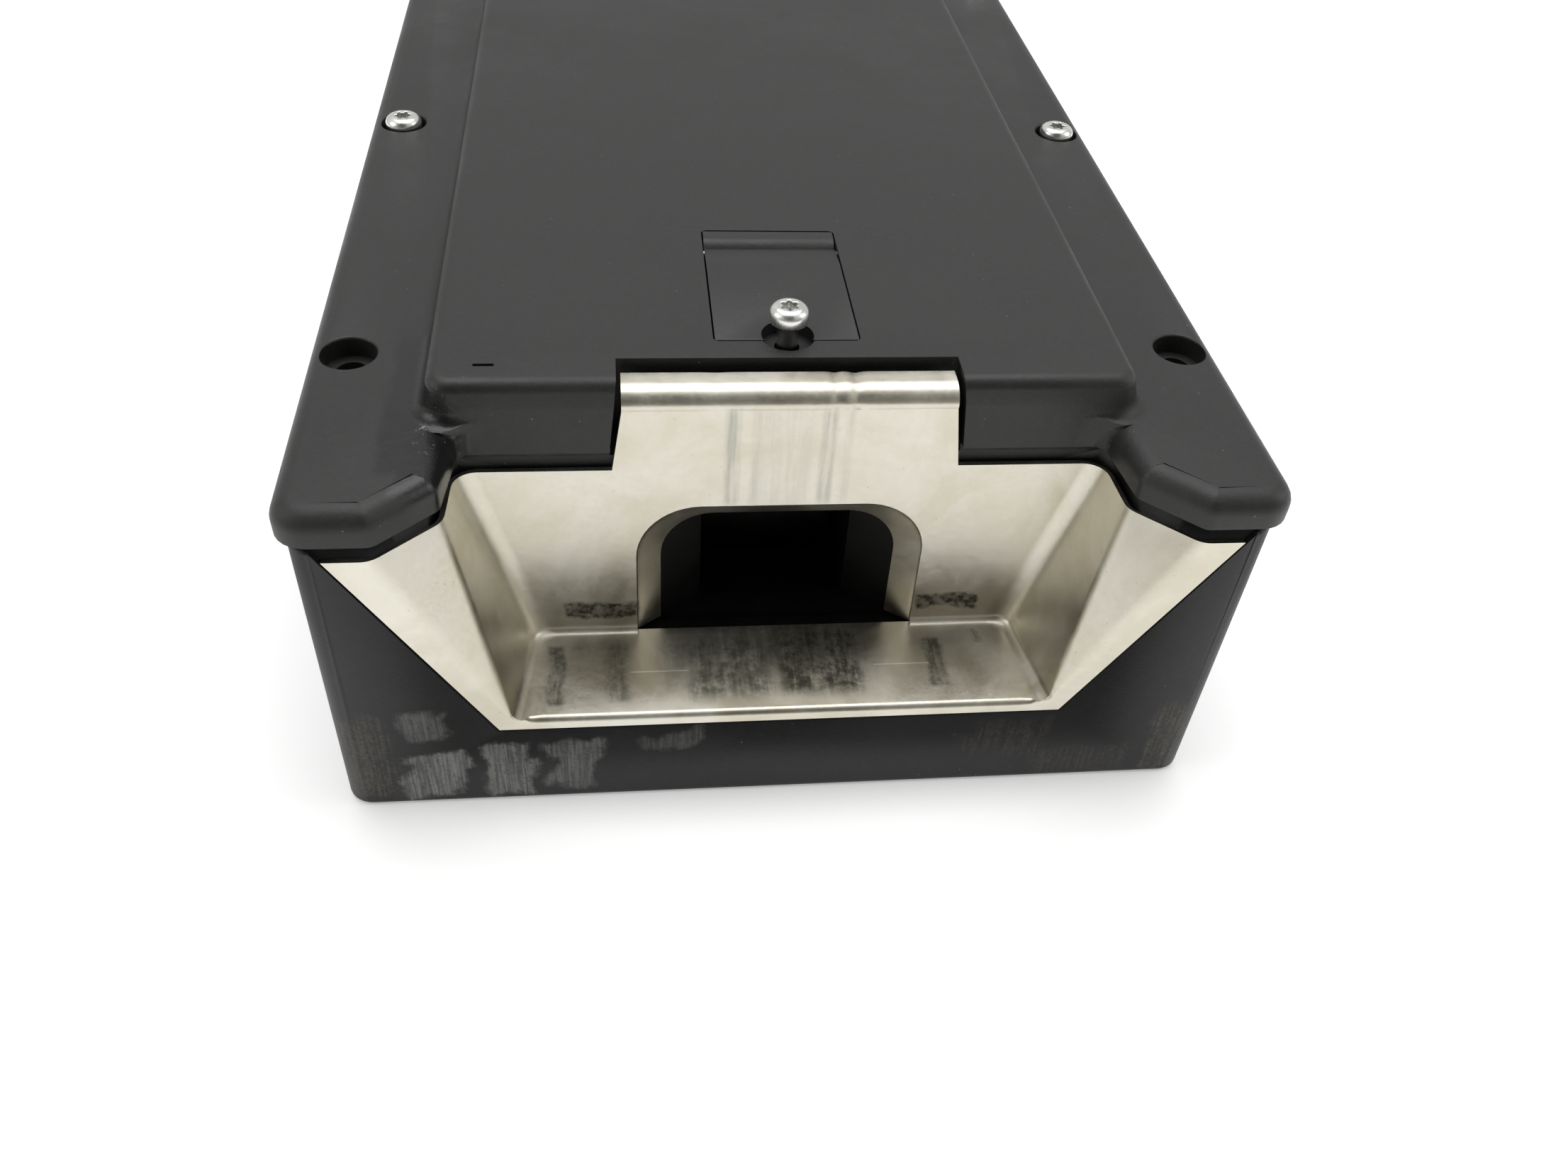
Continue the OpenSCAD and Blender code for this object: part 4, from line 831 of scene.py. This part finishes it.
def build_funnel():
    """The funnel as one sheet: creased half walls, floor, back wall with its arch, rolled tab and collar."""
    skin = Skin()
    foot = [(FLOOR_Z + FOOT_R * (1 - math.cos(k * math.pi / 12)),
             FOOT_R * (1 - math.sin(k * math.pi / 12))) for k in range(7)]
    rise = [(FLOOR_Z + FOOT_R + (EDGE_Z - FLOOR_Z - FOOT_R) * k / 22, 0.0) for k in range(1, 23)]
    first = {}
    for side in (-1, 1):
        rows = [skin.row((side * p.x, p.y, z) for p in funnel_half(z, pull))
                for z, pull in foot + rise]
        first[side] = rows[0]
        for lower, upper in zip(rows, rows[1:]):
            skin.bridge(lower, upper, closed=False)
        strips = [skin.row([(side * TAB_X, BACK_D - pull, z), (side * ARCH_X, BACK_D - pull, z)])
                  for z, pull in foot]
        for lower, upper in zip(strips, strips[1:]):
            skin.bridge(lower, upper, closed=False)
        jamb = [(side * ARCH_X, BACK_D - pull, z) for z, pull in foot]
        skin.fill(skin.row(jamb + [(side * ARCH_X, BACK_D, FLOOR_Z)]))
    fill_floor(skin, first)
    fill_back(skin, [z for z, pull in foot[-1:] + rise])
    roll_tab(skin)
    draw_collar(skin)
    funnel = skin.make("funnel_sheet", weld=0.01)
    face_forwards(funnel)
    solid = funnel.modifiers.new("sheet", "SOLIDIFY")
    solid.thickness = SHEET * MM
    solid.offset = -1
    solid.use_quality_normals = True
    apply_modifiers(funnel)
    finish_piece(funnel, "housing", MATERIALS["funnel"], ["insertion_funnel"], 38)


def face_forwards(obj):
    """Turns the sheet's faces to the viewer's side, so that its thickness goes behind them."""
    work = bmesh.new()
    work.from_mesh(obj.data)
    front = [f for f in work.faces if abs(f.calc_center_median().y - FRONT_Y * MM) < 1e-6]
    if sum(f.normal.y * f.calc_area() for f in front) > 0:
        bmesh.ops.reverse_faces(work, faces=work.faces)
    work.to_mesh(obj.data)
    work.free()


def fill_floor(skin, first):
    """The flat floor, its rounded front edge, and the lip of the flange below it."""
    end_x = FLOOR_X - FOOT_R
    columns = 60
    rows = []
    for k in range(6):
        turn = k / 5 * math.pi / 2
        line = []
        for c in range(columns + 1):
            x = end_x * (2 * c / columns - 1)
            radius = BEND_R * min(1.0, (end_x - abs(x)) / 1.6) ** 0.5
            line.append((x, radius * (1 - math.sin(turn)), FLOOR_Z - radius * (1 - math.cos(turn))))
        rows.append(skin.row(line))
    for upper, lower in zip(rows, rows[1:]):
        skin.bridge(upper, lower, closed=False)
    left = [skin.points[i] for i in first[-1]][1:]
    right = [skin.points[i] for i in first[1]][1:]
    rear = [(-ARCH_X, BACK_D - FOOT_R, FLOOR_Z), (-ARCH_X, BACK_D, FLOOR_Z),
            (ARCH_X, BACK_D, FLOOR_Z), (ARCH_X, BACK_D - FOOT_R, FLOOR_Z)]
    front = [skin.points[i] for i in rows[0]][1:-1]
    skin.fill(skin.row(left + rear + right[::-1] + front[::-1]))
    edge_x = FLANGE_TOP_X - (EDGE_Z - FLOOR_Z) * FLANGE_SLOPE
    low = [(LIP_END_X, 0.0, LIP_Z), (-LIP_END_X, 0.0, LIP_Z)]
    bend = [skin.points[i] for i in rows[-1]]
    skin.fill(skin.row([(-edge_x, 0.0, FLOOR_Z)] + bend + [(edge_x, 0.0, FLOOR_Z)] + low))


def fill_back(skin, heights):
    """The flat back wall around the arch, and the tab up to its bend."""
    outer = [(-TAB_X, z) for z in heights] + [(-TAB_TOP_X, BEND_Z), (TAB_TOP_X, BEND_Z)]
    outer += [(TAB_X, z) for z in reversed(heights)]
    arch = [(p.x, p.y) for p in arch_outline()[1:-1]]
    skin.fill(skin.row((x, BACK_D, z) for x, z in outer + arch[::-1]))


def roll_tab(skin):
    """The rounded top of the tab, rolled back over the front wall of the lid, with a few small dents."""
    radius = LID_HIGH.z - ROLL_BELOW - BEND_Z
    columns = 96
    rows = []
    for k in range(13):
        turn = k / 12 * math.pi / 2
        bulge = 0.22 * min(1.0, turn / 0.3) * (1 - k / 12)
        rows.append((BACK_D + radius * (1 - math.cos(turn)) - bulge,
                     BEND_Z + radius * math.sin(turn), turn))
    rows.append((BACK_D + ROLL_LENGTH, BEND_Z + radius, math.pi / 2))
    last = None
    for n, (d, z, turn) in enumerate(rows):
        line = []
        for c in range(columns + 1):
            x = TAB_TOP_X * (2 * c / columns - 1)
            dent = 0.0
            if n > 0:
                for middle, width, depth in TAB_DENTS:
                    dent += depth * math.exp(-((x - middle) / width) ** 2)
            line.append((x, d + dent * math.cos(turn), z - dent * math.sin(turn)))
        row = skin.row(line)
        if last is not None:
            skin.bridge(last, row, closed=False)
        last = row


def draw_collar(skin):
    """The drawn collar that runs from the arch into the guide channel."""
    last = None
    for depth, share in ((0.0, 0.0), (0.1, 0.012), (0.3, 0.07), (0.6, 0.2), (2.4, 1.0)):
        outline = arch_outline(1 - 0.172 * share, 1 - 0.146 * share)
        row = skin.row((p.x, BACK_D + depth, p.y) for p in outline)
        if last is not None:
            skin.bridge(last, row, closed=False)
        last = row


def extruded(name, section, x0, x1):
    """A solid with one (depth, z) section between two side planes."""
    skin = Skin()
    ends = [skin.row((x, d, z) for d, z in section) for x in (x0, x1)]
    skin.bridge(ends[0], ends[1])
    skin.fill(ends[0])
    skin.fill(ends[1])
    return skin.make(name)


def build_flap():
    """The release flap and the fixed strip behind it, with a soft trough over the hinge between them."""
    front, top, low = FLAP_FRONT_D, PLATEAU_Z, FLAP_LOW.z
    axis_d, axis_z = front + HINGE_BEHIND, top - HINGE_BELOW
    back = front + 16.9
    section = [(front + 0.1, low), (front, low + 0.1), (front, top - 0.14), (front + 0.05, top - 0.05),
               (front + 0.14, top)]
    for k in range(9):
        share = k / 8
        section.append((back + (axis_d - back) * share, top - TROUGH * share * share * (3 - 2 * share)))
    for k in range(1, 10):
        turn = math.radians(42 - 17 * k)
        section.append((axis_d + KNUCKLE_R * math.cos(turn), axis_z + KNUCKLE_R * math.sin(turn)))
    section += [(axis_d - 0.6, low)]
    flap = extruded("flap_shown", section, FLAP_LOW.x, FLAP_HIGH.x)
    notch = stacked("flap_notch", disc(FLAP_SCREW_X, FLAP_SCREW_D, FLAP_NOTCH_R),
                    [(0, low + SEAT_T), (0, top + 1)])
    hole = stacked("flap_hole", disc(FLAP_SCREW_X, FLAP_SCREW_D, FLAP_HOLE_R, 32), [(0, low - 1), (0, low + 1)])
    bore = turned_bore(axis_d, axis_z)
    seat_r = FLAP_SCREW_D - (FLAP_LOW.y - FRONT_Y)
    seat = stacked("flap_seat", disc(FLAP_SCREW_X, FLAP_SCREW_D, seat_r), [(0, low), (0, low + SEAT_T)])
    combine(flap, [seat], "UNION")
    combine(flap, [notch, hole, bore], "DIFFERENCE")
    finish_piece(flap, "release_flap", MATERIALS["lid"], ["release_flap"], 30)
    build_strip(axis_d + KNUCKLE_R + 0.06, top)


def build_strip(start, top):
    """The fixed strip behind the flap, whose rounded front edge starts behind the knuckle."""
    front, end = STRIP_LOW.y - FRONT_Y, STRIP_HIGH.y - FRONT_Y
    section = [(front, STRIP_LOW.z), (front, top - 1.4), (start, top - 1.3), (start, top - 0.8)]
    for k in range(1, 8):
        share = k / 7
        section.append((start + 1.5 * share, top - 0.8 * (1 - share) ** 2))
    section += [(end - 0.14, top), (end - 0.05, top - 0.05), (end, top - 0.14), (end, STRIP_LOW.z)]
    strip = extruded("strip_shown", section, STRIP_LOW.x, STRIP_HIGH.x)
    finish_piece(strip, "housing", MATERIALS["lid"], ["flap_strip"], 30)


def turned_bore(axis_d, axis_z):
    """A cutter for the hinge pin's hole through the flap."""
    circle = [(axis_d + HINGE_HOLE_R * math.cos(k * math.pi / 12),
               axis_z + HINGE_HOLE_R * math.sin(k * math.pi / 12)) for k in range(24)]
    return extruded("bore", circle, FLAP_LOW.x - 1, FLAP_HIGH.x + 1)


def pan_screw(name, x, d, under_z, head_r, head_h, shank_r, shank_l, turn):
    """A pan-head screw with a domed head and a six-lobe socket, turned out of concentric rings."""
    skin = Skin()
    profile = [(shank_r * 0.6, -shank_l), (shank_r, -shank_l + 0.6), (shank_r, -0.25),
               (shank_r + 0.15, 0.0), (head_r - 0.2, 0.0), (head_r - 0.05, 0.06), (head_r, 0.22),
               (head_r, head_h * 0.42)]
    steps = 7
    rim_r = head_r * 0.56
    for k in range(1, steps + 1):
        turn_k = k / steps * math.pi / 2
        profile.append((rim_r + (head_r - rim_r) * math.cos(turn_k),
                        head_h * 0.42 + head_h * 0.58 * math.sin(turn_k)))
    count = 48
    rings = [skin.ring(disc(x, d, r, count), under_z + z) for r, z in profile]
    for lower, upper in zip(rings, rings[1:]):
        skin.bridge(lower, upper)
    skin.fill(rings[0])
    skin.fill(rings[-1])
    screw = skin.make(name)
    socket = []
    points = 72
    for i in range(points):
        angle = 2 * math.pi * i / points
        r = head_r * (0.40 + 0.075 * math.cos(6 * angle))
        socket.append(Vector((x + r * math.cos(angle + turn), d + r * math.sin(angle + turn))))
    cutter = flared_cut("socket", socket, under_z + head_h * 0.4, under_z + head_h, 0.12)
    combine(screw, [cutter], "DIFFERENCE")
    return screw


def build_screws():
    """The two pairs of lid screws, each turned differently, and the backed-out flap screw."""
    under = FLANGE_Z - POCKET_DEPTH + SCREW_OUT
    pieces = []
    turn = 0.3
    for side in (-1, 1):
        for depth in SCREW_DEPTHS[1:]:
            turn += 0.9
            pieces.append(pan_screw("lid_screw", side * SCREW_X, depth, under, turn=turn, **LID_SCREW))
    screws = pieces[0]
    combine(screws, pieces[1:], "UNION")
    screws.name = "lid_screw_set"
    finish_piece(screws, "housing", MATERIALS["zinc"], ["lid_screws"], 40)
    head_top = box_mm("flap_screw")[1].z
    flap_screw = pan_screw("flap_screw_shown", FLAP_SCREW_X, FLAP_SCREW_D,
                           head_top - FLAP_SCREW["head_h"], turn=0.5, **FLAP_SCREW)
    finish_piece(flap_screw, "flap_screw", MATERIALS["zinc"], ["flap_screw"], 40)


def build_spring():
    """The lever's return spring, which the lever's foot shortens as it turns. Its CAD mesh is copied unchanged.
    """
    source = frame["nodes"]["lever_spring"]
    spring = bpy.data.objects.new("spring_shown", source.data.copy())
    bpy.context.scene.collection.objects.link(spring)
    finish_piece(spring, "housing", MATERIALS["steel"], ["lever_spring"], 40)
    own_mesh(spring)


def dress_cad():
    """Gives every CAD node that still shows its material, and takes the edge off its corners."""
    slots = {part["node"]: part["material_slot"] for part in frame["record"]["subparts"]}
    replaced = {"lid", "base_housing", "insertion_funnel", "lid_screws", "flap_screw",
                "release_flap", "flap_strip", "lever_spring"}
    for node, obj in frame["nodes"].items():
        if node in replaced:
            continue
        obj.data.materials.clear()
        obj.data.materials.append(MATERIALS[slots[node]])
        weld = obj.modifiers.new("weld", "WELD")
        weld.merge_threshold = 0.002 * MM
        edge = obj.modifiers.new("edge", "BEVEL")
        edge.width = 0.12 * MM
        edge.segments = 2
        edge.limit_method = "ANGLE"
        edge.angle_limit = math.radians(40)


# ---------------------------------------------------------------- stage

def build_stage():
    """A pale floor just under the object that reaches past the horizon."""
    plan = rectangle(-FLOOR_HALF, FLOOR_HALF, -FLOOR_HALF, FLOOR_HALF)
    skin = Skin()
    skin.fill(skin.ring(plan, -FLOOR_BELOW))
    floor = skin.make("floor")
    floor.data.materials.append(floor_paper("pale_paper"))


def area_light(name, place, target, size, power):
    """A white soft box, with its place, target and size in millimetres and its power in watts."""
    data = bpy.data.lights.new(name, "AREA")
    data.shape = "RECTANGLE"
    data.size = size[0] * MM
    data.size_y = size[1] * MM
    data.energy = power
    lamp = bpy.data.objects.new(name, data)
    bpy.context.scene.collection.objects.link(lamp)
    lamp.location = Vector(place) * MM
    aim = (Vector(target) - Vector(place)).normalized()
    lamp.rotation_euler = aim.to_track_quat("-Z", "Y").to_euler()


def facing(nodes, links, coords, direction):
    """How far the view looks along a direction, from -1 to 1."""
    node = nodes.new("ShaderNodeVectorMath")
    node.operation = "DOT_PRODUCT"
    node.inputs[1].default_value = direction
    links.new(coords.outputs["Generated"], node.inputs[0])
    return node.outputs["Value"]


def build_light():
    """A white tent, bright above and behind the object and dim low in front of it, and three soft boxes."""
    bpy.context.scene.view_settings.view_transform = "Standard"
    world = bpy.data.worlds.new("studio")
    bpy.context.scene.world = world
    world.use_nodes = True
    nodes, links = world.node_tree.nodes, world.node_tree.links
    background = nodes["Background"]
    coords = nodes.new("ShaderNodeTexCoord")
    lean = facing(nodes, links, coords, BRIGHT_SIDE)
    shade = facing(nodes, links, coords, DARK_SIDE)
    strengths = []
    for value, limits in ((lean, (-0.45, 0.6, 0.22, 0.62)), (shade, (0.8, 0.95, 1.0, 0.2))):
        node = nodes.new("ShaderNodeMapRange")
        node.interpolation_type = "SMOOTHSTEP"
        set_range(node, *limits)
        links.new(value, node.inputs["Value"])
        strengths.append(node.outputs["Result"])
    both = nodes.new("ShaderNodeMath")
    both.operation = "MULTIPLY"
    links.new(strengths[1], both.inputs[0])
    links.new(strengths[0], both.inputs[1])
    links.new(both.outputs[0], background.inputs["Strength"])
    tint = nodes.new("ShaderNodeMix")
    tint.data_type = "RGBA"
    tint.inputs[6].default_value = WARM_WHITE
    tint.inputs[7].default_value = rgb(1.0, 1.0, 1.0)
    blend = nodes.new("ShaderNodeMapRange")
    set_range(blend, -0.3, 0.5, 0.0, 1.0)
    links.new(lean, blend.inputs["Value"])
    links.new(blend.outputs["Result"], tint.inputs[0])
    links.new(tint.outputs[2], background.inputs["Color"])
    area_light("top_box", (0, 150, 800), (0, -40, 0), (800, 600), 4.0)
    area_light("left_box", (-700, -150, 420), (0, -60, 20), (400, 400), 0.8)
    area_light("right_box", (700, -100, 420), (0, -60, 20), (400, 400), 0.8)


def build_camera():
    """Stands in front of the funnel, a little left of the middle, and looks down at it."""
    data = bpy.data.cameras.new("camera")
    data.sensor_fit = "HORIZONTAL"
    data.sensor_width = SENSOR_MM
    data.lens = LENS_MM
    data.clip_start = 0.01
    camera = bpy.data.objects.new("camera", data)
    bpy.context.scene.collection.objects.link(camera)
    heading, tilt, roll = (math.radians(angle) for angle in (HEADING_DEG, TILT_DEG, ROLL_DEG))
    turn = (Matrix.Rotation(-heading, 4, "Z") @ Matrix.Rotation(math.pi / 2 - tilt, 4, "X")
            @ Matrix.Rotation(roll, 4, "Z"))
    camera.matrix_world = Matrix.Translation(Vector(CAMERA_PLACE) * MM) @ turn
    bpy.context.scene.camera = camera


build_camera()
build_light()
build_stage()
build_base()
build_lid()
build_funnel()
build_flap()
build_screws()
build_spring()
dress_cad()
